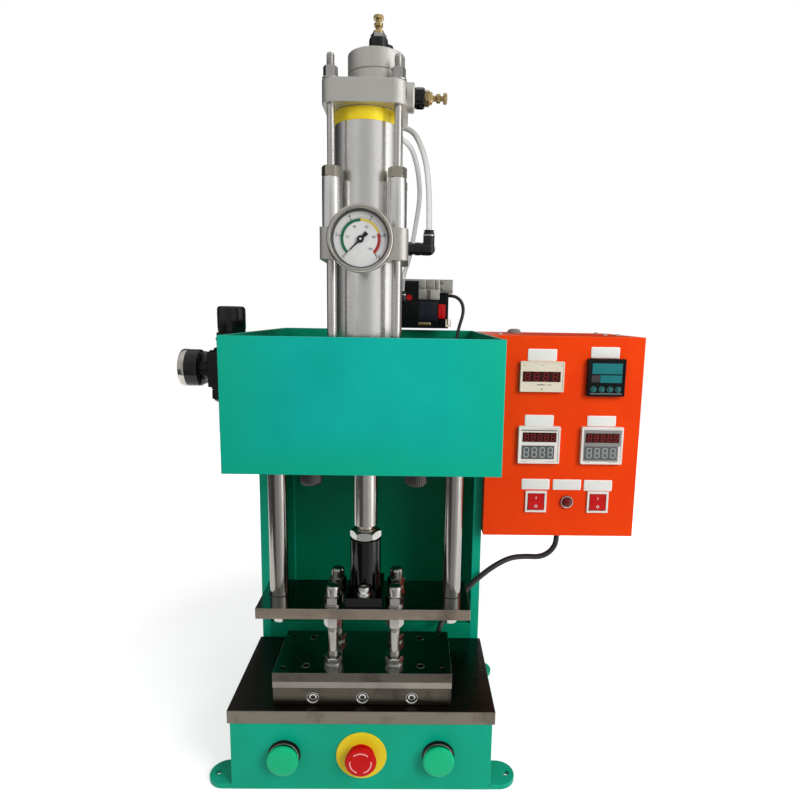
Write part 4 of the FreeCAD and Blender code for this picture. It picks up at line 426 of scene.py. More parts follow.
def weld_beads():
    """Beads along the lugs' joints with the base and in the column's corners."""
    bm = bmesh.new()
    lug_low, lug_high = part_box("mounting_lugs")
    lug_length = 40 * MM
    pitch = lug_high.y - lug_low.y - lug_length
    for x in (base_low.x, base_high.x):
        for y in (-pitch / 2, pitch / 2):
            bead(bm, (x, y - lug_length / 2, lug_high.z), (x, y + lug_length / 2, lug_high.z), 1.6 * MM)
    column_low, column_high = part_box("column")
    plate = 12 * MM
    sill = 38 * MM
    inner = column_high.x - plate
    front = column_low.y + plate
    back = column_high.y - plate
    for x in (-inner, inner):
        bead(bm, (x, back, column_low.z + 1 * MM), (x, back, column_high.z - 1 * MM), 2.2 * MM)
        bead(bm, (x, front, column_low.z), (x, front, column_low.z + sill), 1.6 * MM)
    return bm


mesh_piece("weld_beads", weld_beads(), [green_enamel], 80.0)


# Bed plate. Thick steel, surface ground, screwed on the deck; its top is coloured near black as a painted
# dark reflection, with oil stains that dull it in patches, and its front edge shows the grinder's lines.
def bare_steel(name, first, second, roughness, brush, stretch, stain, edge=None, edge_radius=0.0006):
    """Bare worked steel: fine lines left by the tool, stains from oil and handling, brighter edges."""
    made, tree, shader = new_material(name)
    stretch = stretch if isinstance(stretch, tuple) else (stretch, stretch, stretch)
    place = add(tree, "TexCoord").outputs["Object"]
    lines_place = add(tree, "Mapping", {"Vector": place, "Scale": stretch}).outputs["Vector"]
    lines = add(tree, "TexNoise", {"Vector": lines_place, "Scale": 1.0, "Detail": 3.0}).outputs["Fac"]
    spots = add(tree, "TexNoise", {"Vector": place, "Scale": 22.0, "Detail": 7.0, "Roughness": 0.65})
    stained = remap(tree, spots.outputs["Fac"], 0.5, 0.72, 0.0, stain)
    soft, worn = wear(tree, edge_radius)
    tint = between(tree, stained, first, second)
    if edge:
        tint = between(tree, worn, tint, edge)
    rough = remap(tree, lines, 0.3, 0.7, roughness - 0.07, roughness + 0.07)
    height = calc(tree, "ADD", lines, grain(tree, 2200.0)[0])
    feed(tree, shader, {"Base Color": tint, "Metallic": 1.0,
                        "Roughness": calc(tree, "MULTIPLY_ADD", stained, 0.25, rough),
                        "Normal": bump_normal(tree, brush, 0.0002, height, soft)})
    return made


# A near-black base colour for a steel top stands in for a dark reflection: painted reflection. The darker
# spots over it are oil stains.
bed_top_painted_reflection = bare_steel("bed_top_painted_reflection", (0.050, 0.047, 0.040), (0.026, 0.020, 0.014), 0.30, 0.16,
                           (1500.0, 40.0, 1500.0), 0.75, (0.34, 0.31, 0.27))
bed_edge_steel = bare_steel("bed_edge_steel", (0.19, 0.165, 0.132), (0.075, 0.060, 0.046), 0.36, 0.20,
                            (30.0, 1500.0, 900.0), 0.7, (0.50, 0.46, 0.40))


def ground_plate(node, width, flat, edge, body="frame"):
    """A plate with one finish on its top and underside and another on its edges."""
    plate = rounded_copy(node, width, [flat, edge], body)
    mark_faces(plate, lambda middle, way: 0 if abs(way.z) > 0.5 else 1)


ground_plate("bed_plate", 0.6 * MM, bed_top_painted_reflection, bed_edge_steel)


# Column. Two side plates, a back plate and a low sill between them, welded to the base and enamelled.
def bevel_edges(part, sides, width, segments):
    """Rounds the given edges of a shape."""
    bmesh.ops.bevel(part, geom=sides, offset=width, segments=segments, profile=0.5, affect="EDGES",
                    material=-1)


def cuboid(low_corner, high_corner, corner=0.0, axis=2, segments=4):
    """A cuboid between two corners, the edges along one axis rounded."""
    part = bmesh.new()
    size = Vector(high_corner) - Vector(low_corner)
    middle = Vector(low_corner) + size / 2
    bmesh.ops.create_cube(part, size=1.0, matrix=Matrix.Translation(middle) @ Matrix.Diagonal((*size, 1.0)))
    if corner:
        along = [side for side in part.edges
                 if abs((side.verts[0].co - side.verts[1].co)[axis]) > size[axis] / 2]
        bevel_edges(part, along, corner, segments)
    return part


def soften(part, width):
    """Rounds a shape's sharp edges."""
    sharp = [side for side in part.edges if side.calc_face_angle(0.0) > math.radians(40.0)]
    bevel_edges(part, sharp, width, 2)


def block(bm, low_corner, high_corner, corner=0.0, edge=0.5 * MM, axis=2, mark=0):
    """A rounded cuboid, put into a piece."""
    part = cuboid(low_corner, high_corner, corner, axis)
    if edge:
        soften(part, edge)
    add_shape(bm, part, mark)


# A darker copy of the green enamel, as painted shade. It goes on the column's inside, the head's inner walls
# and floor plate, and the bottom cover.
painted_shade_enamel = enamel("green_enamel_painted_shade", (0.001, 0.205, 0.105), (0.001, 0.245, 0.130), (0.02, 0.36, 0.26),
                      0.42)
column_low, column_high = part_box("column")
COLUMN_WALL = 12.0 * MM
COLUMN_SILL = 38.0 * MM


def column_shape():
    """The back plate with a side plate drawn forward from each of its ends, and the sill between them."""
    part = cuboid((column_low.x, column_high.y - COLUMN_WALL, column_low.z), column_high)
    for side in (-1, 1):
        everything = part.verts[:] + part.edges[:] + part.faces[:]
        bmesh.ops.bisect_plane(part, geom=everything, plane_no=(1, 0, 0),
                               plane_co=(side * (column_high.x - COLUMN_WALL), 0, 0))
    ends = [face for face in part.faces if face.normal.y < -0.9
            and abs(face.calc_center_median().x) > column_high.x - COLUMN_WALL]
    drawn = bmesh.ops.extrude_face_region(part, geom=ends)
    moved = [step for step in drawn["geom"] if isinstance(step, bmesh.types.BMVert)]
    bmesh.ops.translate(part, vec=(0, column_low.y - column_high.y + COLUMN_WALL, 0), verts=moved)
    bmesh.ops.delete(part, geom=ends, context="FACES_ONLY")
    bm = bmesh.new()
    add_shape(bm, part)
    inner = column_high.x - COLUMN_WALL
    add_shape(bm, cuboid((-inner, column_low.y, column_low.z),
                         (inner, column_low.y + COLUMN_WALL, column_low.z + COLUMN_SILL)))
    return bm


column = mesh_piece("column_finished", column_shape(), [green_enamel, painted_shade_enamel], 30.0, node="column")
rounding(column, 0.9 * MM)


def column_faces(middle, way):
    """Painted shade: the darker copy of the enamel between the side plates, the plain one outside and on the
    back.
    """
    if way.y > 0.5 and middle.y > column_high.y / MM - 2:
        return 0
    inside = column_high.x / MM - (10.5 if abs(way.x) > 0.5 else 11.5)
    return 1 if abs(middle.x) < inside else 0


mark_faces(column, column_faces)


# Head box. One folded front with a shallow set along its lower edge, side and back panels welded to it, all
# enamelled; the thick floor inside carries the cylinder.
head_low, head_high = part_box("head_walls")
HEAD_WALL = 5.0 * MM
HEAD_FOLD_UP = 15.0 * MM
HEAD_FOLD_SET = 0.9 * MM


def head_box():
    """The four walls as one ring of sheet, with the lower edge of the front set back a little."""
    part = cuboid(head_low, head_high)
    ends = [face for face in part.faces if abs(face.normal.z) > 0.9]
    bmesh.ops.inset_individual(part, faces=ends, thickness=HEAD_WALL)
    rims = list({side for face in ends for side in face.edges})
    bmesh.ops.delete(part, geom=ends, context="FACES_ONLY")
    bmesh.ops.bridge_loops(part, edges=rims)
    bmesh.ops.recalc_face_normals(part, faces=part.faces)
    corners = [side for side in part.edges if abs(side.verts[0].co.z - side.verts[1].co.z) > 0.1
               and abs(abs(side.verts[0].co.x) - head_high.x) < 0.00001]
    bevel_edges(part, corners, 1.6 * MM, 3)
    top_edges = [side for side in part.edges if all(abs(v.co.z - head_high.z) < 0.00001 for v in side.verts)
                 and side.calc_face_angle(0.0) > 1.0]
    bevel_edges(part, top_edges, 0.6 * MM, 2)
    bmesh.ops.bisect_plane(part, geom=part.verts[:] + part.edges[:] + part.faces[:],
                           plane_co=(0, 0, head_low.z + HEAD_FOLD_UP), plane_no=(0, 0, 1))
    for vertex in part.verts:
        if vertex.co.z < head_low.z + 1 * MM and vertex.co.y < head_low.y + 1 * MM:
            vertex.co.y += HEAD_FOLD_SET
    bm = bmesh.new()
    add_shape(bm, part)
    return bm


def head_enamel():
    """The enamel of the head: bluer in the middle of the front, greener to its ends and its lower edge."""
    made = enamel("green_enamel_head", (0.001, 0.345, 0.285), (0.002, 0.380, 0.320), (0.16, 0.60, 0.48), 0.33)
    tree = made.node_tree
    shader = tree.nodes["Principled BSDF"]
    place = add(tree, "TexCoord").outputs["Object"]
    parts = add(tree, "SeparateXYZ", {"Vector": place}).outputs
    to_ends = remap(tree, calc(tree, "ABSOLUTE", parts["X"]), 0.075, 0.155, 0.0, 1.0)
    to_bottom = remap(tree, parts["Z"], 0.425, 0.385, 0.0, 1.0)
    warm = calc(tree, "MULTIPLY", calc(tree, "MAXIMUM", to_ends, to_bottom), 0.75)
    before = shader.inputs["Base Color"].links[0].from_socket
    tree.links.new(between(tree, warm, before, (0.001, 0.365, 0.215)), shader.inputs["Base Color"])
    return made


head = mesh_piece("head_box", head_box(), [head_enamel(), painted_shade_enamel], 25.0, node="head_walls")


def head_faces(middle, way):
    """Painted shade: the darker copy of the enamel on the inner faces of the walls."""
    inside = abs(middle.x) < head_high.x / MM - 3 and head_low.y / MM + 3 < middle.y < head_high.y / MM - 3
    return 1 if inside else 0


mark_faces(head, head_faces)
# The head's floor plate gets the darker copy of the enamel: painted shade.
rounded_copy("head_floor_plate", 0.0, [painted_shade_enamel])


# Guide posts and their bushes. Ground and polished bearing steel; the posts travel with the plate.
polished_steel = bare_steel("polished_steel", (0.62, 0.605, 0.58), (0.44, 0.42, 0.38), 0.18, 0.04,
                            (700.0, 700.0, 2600.0), 0.3)


UP = Vector((0, 0, 1))
RIGHT = Vector((1, 0, 0))
LEFT = Vector((-1, 0, 0))
FORWARD = Vector((0, -1, 0))
BACK = Vector((0, 1, 0))


def at(x, y, z):
    """A place or a step written in millimetres."""
    return Vector((x, y, z)) * MM


def turned(bm, foot, axis, rings, steps=40, closed=False, mark=0):
    """Spins a profile of rings round an axis and puts it into a piece. A ring is a radius and a height, and
    either may be a rule that gives it for an angle."""
    part = bmesh.new()
    number = part.verts.layers.int.new("ring")
    ends = [] if closed else [0, len(rings) - 1]
    profile = []
    for place, (radius, height) in enumerate(rings):
        start = (1.0 if callable(radius) else radius, 0.0, height(0.0) if callable(height) else height)
        vertex = part.verts.new(start)
        vertex[number] = place
        profile.append(vertex)
    poles = [part.verts.new((0.0, 0.0, profile[place].co.z)) for place in ends]
    for pole in poles:
        pole[number] = -1
    chain = [profile[-1], *profile] if closed else [poles[0], *profile, poles[1]]
    line = [part.edges.new(pair) for pair in zip(chain, chain[1:])]
    bmesh.ops.spin(part, geom=profile + poles + line, cent=(0, 0, 0), axis=(0, 0, 1), angle=math.tau,
                   steps=steps, use_merge=True)
    for vertex in part.verts:
        if vertex[number] >= 0:
            radius, height = rings[vertex[number]]
            turn = math.atan2(vertex.co.y, vertex.co.x)
            if callable(radius):
                reach = radius(turn)
                vertex.co.x = math.cos(turn) * reach
                vertex.co.y = math.sin(turn) * reach
            if callable(height):
                vertex.co.z = height(turn)
    axis = Vector(axis).normalized()
    side = UP if abs(axis.z) < 0.5 else RIGHT
    stand = Matrix((side, axis.cross(side), axis)).transposed().to_4x4()
    bmesh.ops.transform(part, matrix=Matrix.Translation(Vector(foot)) @ stand, verts=part.verts)
    add_shape(bm, part, mark)


def lathe(bm, foot, axis, rings, steps=40, closed=False, mark=0):
    """Turns a profile that is written in millimetres."""
    scaled = [((lambda turn, rule=radius: rule(turn) * MM) if callable(radius) else radius * MM, height * MM)
              for radius, height in rings]
    turned(bm, foot, axis, scaled, steps, closed, mark)


post_steel = bare_steel("post_steel", (0.34, 0.325, 0.30), (0.24, 0.22, 0.195), 0.17, 0.02,
                        (900.0, 900.0, 14.0), 0.5)
rounded_copy("guide_posts", 0.5 * MM, [post_steel], "ram")
rounded_copy("guide_bushes", 0.6 * MM, [polished_steel])


# Cylinder. Bead-blasted cast flanges and cap, satin barrels with drawing lines, a yellow band round the
# upper barrel, clamped by four lower and four upper polished tie rods.
def cast_metal():
    """Bead-blasted aluminium: fine pits, faint clouds of handling."""
    made, tree, shader = new_material("cast_aluminium")
    fine, slow = grain(tree, 1900.0)
    soft, worn = wear(tree, 0.0008)
    tint = between(tree, slow, (0.54, 0.525, 0.485), (0.66, 0.645, 0.60))
    feed(tree, shader, {"Base Color": between(tree, worn, tint, (0.85, 0.85, 0.83)), "Metallic": 0.85,
                        "Roughness": remap(tree, slow, 0.3, 0.7, 0.40, 0.52),
                        "Normal": bump_normal(tree, 0.25, 0.00015, fine, soft)})
    return made


cast_aluminium = cast_metal()
barrel_aluminium = bare_steel("barrel_aluminium", (0.80, 0.79, 0.77), (0.68, 0.67, 0.64), 0.24, 0.006,
                              (900.0, 900.0, 12.0), 0.35)
bright_zinc = bare_steel("bright_zinc", (0.58, 0.57, 0.55), (0.38, 0.36, 0.31), 0.18, 0.05, 900.0, 0.5,
                         (0.85, 0.84, 0.82), 0.0004)
yellow_nickel = bare_steel("yellow_nickel", (0.54, 0.505, 0.42), (0.34, 0.30, 0.22), 0.20, 0.05, 900.0, 0.5,
                           (0.80, 0.77, 0.68), 0.0004)
black_oxide = bare_steel("black_oxide", (0.060, 0.058, 0.055), (0.11, 0.10, 0.09), 0.36, 0.08, 700.0, 0.6,
                         (0.35, 0.34, 0.33), 0.0005)
for node, width in (("cylinder_base_flange", 1.0), ("middle_flange", 1.4), ("top_flange", 1.6),
                    ("top_cap", 0.5)):
    rounded_copy(node, width * MM, [cast_aluminium])
for node in ("lower_barrel", "upper_barrel"):
    rounded_copy(node, 0.4 * MM, [barrel_aluminium])


def middle_of(node):
    """The middle of a node's box."""
    near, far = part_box(node)
    return (near + far) / 2


PRESS_Y = middle_of("lower_barrel").y
barrel_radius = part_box("upper_barrel")[1].x
top_low, top_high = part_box("top_flange")
middle_low, middle_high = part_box("middle_flange")


def yellow_tape():
    """Yellow film, slightly wavy and dusty."""
    made, tree, shader = new_material("yellow_film")
    fine, slow = grain(tree, 180.0)
    cloudy = remap(tree, slow, 0.35, 0.65, 0.0, 1.0)
    feed(tree, shader, {"Base Color": between(tree, cloudy, (0.80, 0.56, 0.006), (0.92, 0.72, 0.02)),
                        "Metallic": 0.25, "Roughness": remap(tree, fine, 0.3, 0.7, 0.24, 0.38),
                        "Normal": bump_normal(tree, 0.2, 0.0004, slow)})
    return made


band_bm = bmesh.new()
BAND_HEIGHT = 13.5 * MM
band_foot = Vector((0, PRESS_Y, top_low.z - BAND_HEIGHT))
turned(band_bm, band_foot, UP, [(barrel_radius - 0.2 * MM, 0), (barrel_radius + 0.35 * MM, 0.1 * MM),
                                (barrel_radius + 0.4 * MM, 0.8 * MM),
                                (barrel_radius + 0.4 * MM, BAND_HEIGHT - 0.6 * MM),
                                (barrel_radius - 0.2 * MM, BAND_HEIGHT - 0.4 * MM)], steps=96, closed=True)
mesh_piece("yellow_band", band_bm, [yellow_tape()])


def thread(bm, foot, axis, radius, pitch, length, mark=0, steps=18):
    """A helical screw thread on a core with a chamfered tip."""
    root = radius - 0.58 * pitch
    part = bmesh.new()
    places = ((root, 0.0), (radius, 0.45), (radius, 0.55), (root, 1.0))
    tooth = part.faces.new([part.verts.new((reach, 0.0, lift * pitch)) for reach, lift in places])
    rounds = int(length / pitch)
    bmesh.ops.spin(part, geom=[tooth, *tooth.edges, *tooth.verts], cent=(0, 0, 0), axis=(0, 0, 1),
                   angle=math.tau * rounds, steps=steps * rounds, dvec=(0, 0, pitch / steps))
    axis = Vector(axis).normalized()
    stand = axis.to_track_quat("Z", "Y").to_matrix().to_4x4()
    bmesh.ops.transform(part, matrix=Matrix.Translation(Vector(foot)) @ stand, verts=part.verts)
    add_shape(bm, part, mark)
    turned(bm, foot, axis, [(root * 1.01, 0), (root * 1.01, length + pitch * 0.6),
                            (root * 0.8, length + pitch)], steps, mark=mark)


def hexagon_rule(flats):
    """Radius of a hexagon of a given width over its flats, by angle."""
    def rule(turn):
        within = turn % (math.pi / 3) - math.pi / 6
        return flats / 2 / math.cos(within)
    return rule


def nut(bm, foot, axis, flats, height, bore, mark=0, chamfer=0.055):
    """A hexagon nut with turned chamfers at both ends."""
    hexagon = hexagon_rule(flats)
    corner = flats * (1 / math.sqrt(3) - 0.5)

    def drop(turn):
        return flats * chamfer * ((hexagon(turn) - flats / 2) / corner + 0.3)

    turned(bm, foot, axis, [(bore, 0), (flats * 0.475, 0), (hexagon, drop),
                            (hexagon, lambda turn: height - drop(turn)), (flats * 0.475, height),
                            (bore, height)], 48, True, mark)


def ribbed(radius, depth, count):
    """Radius of a round part with fine upright ribs, by angle."""
    return lambda turn: radius - depth * (0.5 + 0.5 * math.cos(turn * count))


def socket_head(bm, foot, axis, radius, height, socket, mark=0, ribs=30):
    """A socket cap screw's knurled head with its hexagon recess."""
    knurl = ribbed(radius, radius * 0.05, ribs)
    recess = hexagon_rule(socket)
    turned(bm, foot, axis, [(radius * 0.5, 0), (radius * 0.95, 0), (knurl, height * 0.06),
                            (knurl, height * 0.84), (radius * 0.95, height * 0.88), (radius * 0.86, height),
                            (lambda turn: recess(turn) * 1.04, height), (recess, height * 0.97),
                            (recess, height * 0.5), (socket * 0.2, height * 0.44)], steps=ribs * 4, mark=mark)


ROD_NUT_HEIGHT = 12 * MM
ROD_ABOVE_NUT = 13 * MM
UPPER_ROD = 4.0 * MM
LOWER_ROD = 5.2 * MM
TIE_OFFSET = 34.0 * MM
tie_places = [(x, PRESS_Y + y) for x in (-TIE_OFFSET, TIE_OFFSET) for y in (-TIE_OFFSET, TIE_OFFSET)]
rods_bm = bmesh.new()
cylinder_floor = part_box("cylinder_base_flange")[1].z
for x, y in tie_places:
    turned(rods_bm, (x, y, cylinder_floor - 10 * MM), UP, [
        (LOWER_ROD, 0), (LOWER_ROD, middle_low.z - cylinder_floor + 20 * MM)], steps=40)
    turned(rods_bm, (x, y, middle_high.z - 10 * MM), UP, [
        (UPPER_ROD, 0), (UPPER_ROD, top_high.z - middle_high.z + 10 * MM + ROD_NUT_HEIGHT * 0.9)], steps=40)
    thread(rods_bm, (x, y, top_high.z + ROD_NUT_HEIGHT * 0.85), UP, UPPER_ROD, 1.25 * MM,
           ROD_NUT_HEIGHT * 0.15 + ROD_ABOVE_NUT - 1.3 * MM)
mesh_piece("tie_rods_finished", rods_bm, [polished_steel], node="tie_rods")


def cylinder_hardware():
    """Bolts under the head, sleeves and collars on the upper rods, and their nuts."""
    bm = bmesh.new()
    for x in (-58 * MM, 58 * MM):
        for y in (PRESS_Y - TIE_OFFSET, PRESS_Y + TIE_OFFSET):
            socket_head(bm, (x, y, head_low.z), -UP, 12 * MM, 16 * MM, 14 * MM)
    for x, y in tie_places:
        lathe(bm, (x, y, middle_high.z), UP, [(9.0, 0), (9.5, 0.5), (9.5, 49.4), (9.1, 50)], steps=56, mark=1)
        nut(bm, (x, y, middle_high.z + 50 * MM), UP, 17 * MM, 11 * MM, UPPER_ROD, mark=2)
        lathe(bm, (x, y, top_high.z), UP, [(4, 0), (8.4, 0), (8.4, 1.3), (4, 1.5)], closed=True, mark=3)
        nut(bm, (x, y, top_high.z + 1.5 * MM), UP, 13 * MM, ROD_NUT_HEIGHT - 1.5 * MM, UPPER_ROD, mark=3)
    return bm


mesh_piece("cylinder_hardware", cylinder_hardware(), [
    black_oxide, barrel_aluminium, yellow_nickel, bright_zinc], node="cylinder_fasteners")


# Pressure gauge. Stainless case with a rolled bezel, printed white dial behind a flat glass, black needle.
def plain_plastic(name, first, second, roughness, fine=1300.0, depth=0.12, specular=0.25):
    """Moulded plastic: faint mottling, fine texture from the mould."""
    return coat(name, first, second, roughness, fine, depth, 0.0002, 0.0005, specular=specular)


def window_glass(name, tint, alpha):
    """A clear pane: mostly open, with its own reflections and a few smudges."""
    made, tree, shader = new_material(name)
    fine, slow = grain(tree, 60.0)
    feed(tree, shader, {"Base Color": between(tree, slow, tint, (0.06, 0.06, 0.06)),
                        "Roughness": remap(tree, slow, 0.3, 0.7, 0.02, 0.09),
                        "Alpha": remap(tree, fine, 0.4, 0.7, alpha, alpha + 0.03)})
    return made


gauge_steel = bare_steel("gauge_steel", (0.56, 0.535, 0.49), (0.38, 0.355, 0.31), 0.13, 0.03, 300.0, 0.3,
                         (0.72, 0.70, 0.67), 0.0004)
# Dark plastic for the inner slope of the gauge's steel bezel: painted shade.
bezel_ring_painted_shade = plain_plastic("bezel_ring_painted_shade", (0.055, 0.050, 0.045), (0.085, 0.08, 0.07), 0.4, 700.0, 0.04)
dial_white = plain_plastic("dial_white", (0.74, 0.74, 0.73), (0.82, 0.82, 0.81), 0.45, 700.0, 0.04)
needle_black = plain_plastic("needle_black", (0.010, 0.010, 0.010), (0.020, 0.020, 0.020), 0.35)
clear_pane = window_glass("clear_pane", (0.02, 0.022, 0.022), 0.05)
GAUGE_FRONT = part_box("gauge_case")[0].y
gauge_z = middle_of("gauge_case").z
DIAL_Y = GAUGE_FRONT + 8.0 * MM


def gauge_body():
    """Case, bezel, stem and hexagon, open to the front as far as the dial."""
    bm = bmesh.new()
    centre = (0, GAUGE_FRONT + 25 * MM, gauge_z)
    lathe(bm, centre, FORWARD, [(6, 0), (27, 0), (29.2, 1.4), (29.8, 3), (29.8, 13.5), (31.6, 14), (32.3, 15),
                                (32.3, 22.5), (31.8, 24.2), (30.6, 25.0), (29.2, 24.9), (28.5, 24.0),
                                (28.2, 22.6), (28.2, 16.0), (6, 16.0)], steps=96, closed=True)
    # The bezel's inner slope, in the dark painted-shade material.
    lathe(bm, centre, FORWARD, [(28.3, 22.8), (27.5, 21.0), (26.2, 17.6), (26.0, 16.1), (28.3, 16.1)],
          steps=96, closed=True, mark=1)
    lathe(bm, centre, BACK, [(6.5, -1), (6.5, 9.5)], steps=32)
    nut(bm, (0, middle_low.y, gauge_z), FORWARD, 17 * MM, 8.5 * MM, 2 * MM)
    return bm


mesh_piece("gauge_body", gauge_body(), [gauge_steel, bezel_ring_painted_shade], 40.0, node="gauge_case")
gauge_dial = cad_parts["gauge_dial"]
gauge_dial.data.materials.clear()
gauge_dial.data.materials.append(dial_white)
rounded_copy("gauge_needle", 0.12 * MM, [needle_black], "gauge_needle")
glass_bm = bmesh.new()
lathe(glass_bm, (0, GAUGE_FRONT + 2.4 * MM, gauge_z), FORWARD, [(28, 0), (28.0, 0.8), (27.8, 1.0)], steps=64)
mesh_piece("gauge_glass", glass_bm, [clear_pane])


def face_frame(origin, right=RIGHT, up=UP):
    """Puts a flat drawing made in millimetres on a surface: right and up are its directions there."""
    right = Vector(right).normalized()
    up = Vector(up).normalized()
    out = right.cross(up)
    axes = Matrix((right, up, out)).transposed().to_4x4()
    return Matrix.Translation(Vector(origin)) @ axes @ Matrix.Scale(MM, 4)


def arc_band(bm, inner, outer, start, end, lift=0.12, mark=0, steps=None):
    """A curved strip of print between two clockwise angles from the top, in millimetres."""
    part = bmesh.new()
    bmesh.ops.create_grid(part, x_segments=1, y_segments=1, size=0.5, matrix=Matrix((
        (0, 0, -1, 0), (outer - inner, 0, 0, (inner + outer) / 2), (0, lift, 0, lift / 2), (0, 0, 0, 1))))
    spun = part.verts[:] + part.edges[:] + part.faces[:]
    bmesh.ops.rotate(part, matrix=Matrix.Rotation(-math.radians(start), 3, "Z"), verts=part.verts)
    bmesh.ops.spin(part, geom=spun, cent=(0, 0, 0), axis=(0, 0, -1), angle=math.radians(end - start),
                   steps=steps or max(1, int(abs(end - start) / 5)))
    add_shape(bm, part, mark)


def bar(bm, x0, x1, y0, y1, lift=0.12, mark=0, base=0.0, inset=0.0):
    """A small raised block of print or lens, in millimetres, optionally with sloped sides."""
    part = cuboid((x0, y0, base), (x1, y1, base + lift))
    middle = Vector(((x0 + x1) / 2, (y0 + y1) / 2, 0))
    for vertex in part.verts:
        if inset and vertex.co.z > base + lift / 2:
            vertex.co.x += math.copysign(inset, middle.x - vertex.co.x)
            vertex.co.y += math.copysign(inset, middle.y - vertex.co.y)
    add_shape(bm, part, mark)


def lettering(bm, text, size, x, y, mark=0, lift=0.12):
    """Plain figures as raised mesh, centred on a place, in millimetres."""
    data = bpy.data.curves.new("figures", "FONT")
    data.body = text
    data.size = size
    data.extrude = lift / 2
    data.align_x = "CENTER"
    data.align_y = "CENTER"
    data.resolution_u = 2
    holder = bpy.data.objects.new("figures", data)
    mesh = bpy.data.meshes.new_from_object(holder)
    mesh.transform(Matrix.Translation((x, y, lift / 2)))
    first = len(bm.faces)
    bm.from_mesh(mesh)
    bm.faces.ensure_lookup_table()
    for face in bm.faces[first:]:
        face.material_index = mark
    bpy.data.meshes.remove(mesh)
    bpy.data.objects.remove(holder)
    bpy.data.curves.remove(data)


def printed(name, tint, dusty):
    """Printing ink, a little uneven."""
    made, tree, shader = new_material(name)
    fine, slow = grain(tree, 2500.0)
    feed(tree, shader, {"Base Color": between(tree, fine, tint, dusty),
                        "Roughness": remap(tree, slow, 0.3, 0.7, 0.4, 0.55)})
    return made


ink_black = printed("ink_black", (0.012, 0.012, 0.012), (0.035, 0.035, 0.035))
ink_green = printed("ink_green", (0.008, 0.125, 0.055), (0.014, 0.16, 0.075))
ink_yellow = printed("ink_yellow", (0.80, 0.56, 0.03), (0.86, 0.64, 0.08))
ink_red = printed("ink_red", (0.36, 0.014, 0.016), (0.44, 0.025, 0.025))
ink_white = printed("ink_white", (0.80, 0.80, 0.78), (0.88, 0.88, 0.86))


DIAL_START = -135.0
DIAL_SWEEP = 270.0
DIAL_FIGURES = ("0", "2", "4", "6", "8", "10")


def dial_print(radius):
    """A dial's ticks with their figures outside and finer figures inside, in millimetres."""
    bm = bmesh.new()
    divisions = (len(DIAL_FIGURES) - 1) * 10
    for number in range(divisions + 1):
        turn = DIAL_START + DIAL_SWEEP * number / divisions
        inner, outer, half = (0.80, 0.84, 0.55) if number % 10 else (0.78, 0.87, 1.3)
        arc_band(bm, radius * inner, radius * outer, turn - half, turn + half, steps=1)
    for number, figure in enumerate(DIAL_FIGURES):
        turn = math.radians(DIAL_START + DIAL_SWEEP * number / (len(DIAL_FIGURES) - 1))
        across = math.sin(turn) * radius
        up = math.cos(turn) * radius
        lettering(bm, figure, radius * 0.19, across * 0.945, up * 0.945)
        lettering(bm, str(int(figure) * 10), radius * 0.14, across * 0.52, up * 0.52)
    return bm


main_print = dial_print(25.0)
arc_band(main_print, 16.6, 19.6, -135.0, 0.0, mark=1)
arc_band(main_print, 17.4, 19.6, 0.0, 70.0, mark=2)
arc_band(main_print, 16.6, 19.6, 72.0, 135.0, mark=3)
main_print.transform(face_frame((0, DIAL_Y - 0.05 * MM, gauge_z)))
mesh_piece("gauge_print", main_print, [ink_black, ink_green, ink_yellow, ink_red])


# Throttles and push-in fittings. Black glass-filled plastic and nickelled bodies; the throttles' screws and
# their seats are turned brass; the port block behind the top flange is milled aluminium.
gloss_plastic = plain_plastic("gloss_black_plastic", (0.003, 0.003, 0.003), (0.008, 0.008, 0.008), 0.16,
                              900.0, 0.03, 0.4)
brass = bare_steel("brass", (0.50, 0.37, 0.17), (0.30, 0.20, 0.09), 0.24, 0.06, 900.0, 0.6,
                   (0.60, 0.47, 0.26), 0.0004)


def throttle(bm, foot, way, seat=1):
    """Collar, black body with its arm boss, and the nickel and brass seat of the adjusting screw."""
    lathe(bm, foot, way, [(6, -8), (6, 0), (11, 0), (11, 3), (10.2, 4.5), (9.4, 5), (9.4, 8), (6, 8)], mark=1)
    lathe(bm, foot, way, [(6, 6.5), (9.2, 6.5), (10, 7.2), (10, 15.5), (9.6, 17.3), (8.4, 17.6), (6, 17.6)])
    nut(bm, foot + way * 17.4 * MM, way, 14.5 * MM, 5.0 * MM, 3 * MM, mark=seat)
    lathe(bm, foot + way * 22.2 * MM, way, [(3.05, -1), (6.4, 0), (6.4, 1.2), (5.4, 3.3), (3.05, 3.3)],
          mark=2)


def push_in(bm, mouth, way, length):
    """A push-in mouth: black body, bright ring, and the release collar round the tube."""
    turned(bm, mouth - way * length, way, [(3 * MM, 0), (6.2 * MM, 0), (6.2 * MM, length - 6.4 * MM),
                                           (5.9 * MM, length - 6 * MM)], steps=36)
    lathe(bm, mouth - way * 6.2 * MM, way, [(3, 0), (6.3, 0), (6.3, 1.3), (3, 1.3)], steps=36, closed=True,
          mark=1)
    lathe(bm, mouth - way * 4.9 * MM, way, [(3.05, 0), (5.9, 0), (5.9, 2.6), (4.9, 3.2), (4.9, 3.9),
                                            (5.9, 4.2), (5.9, 4.9), (3.05, 4.9)], steps=36, closed=True)


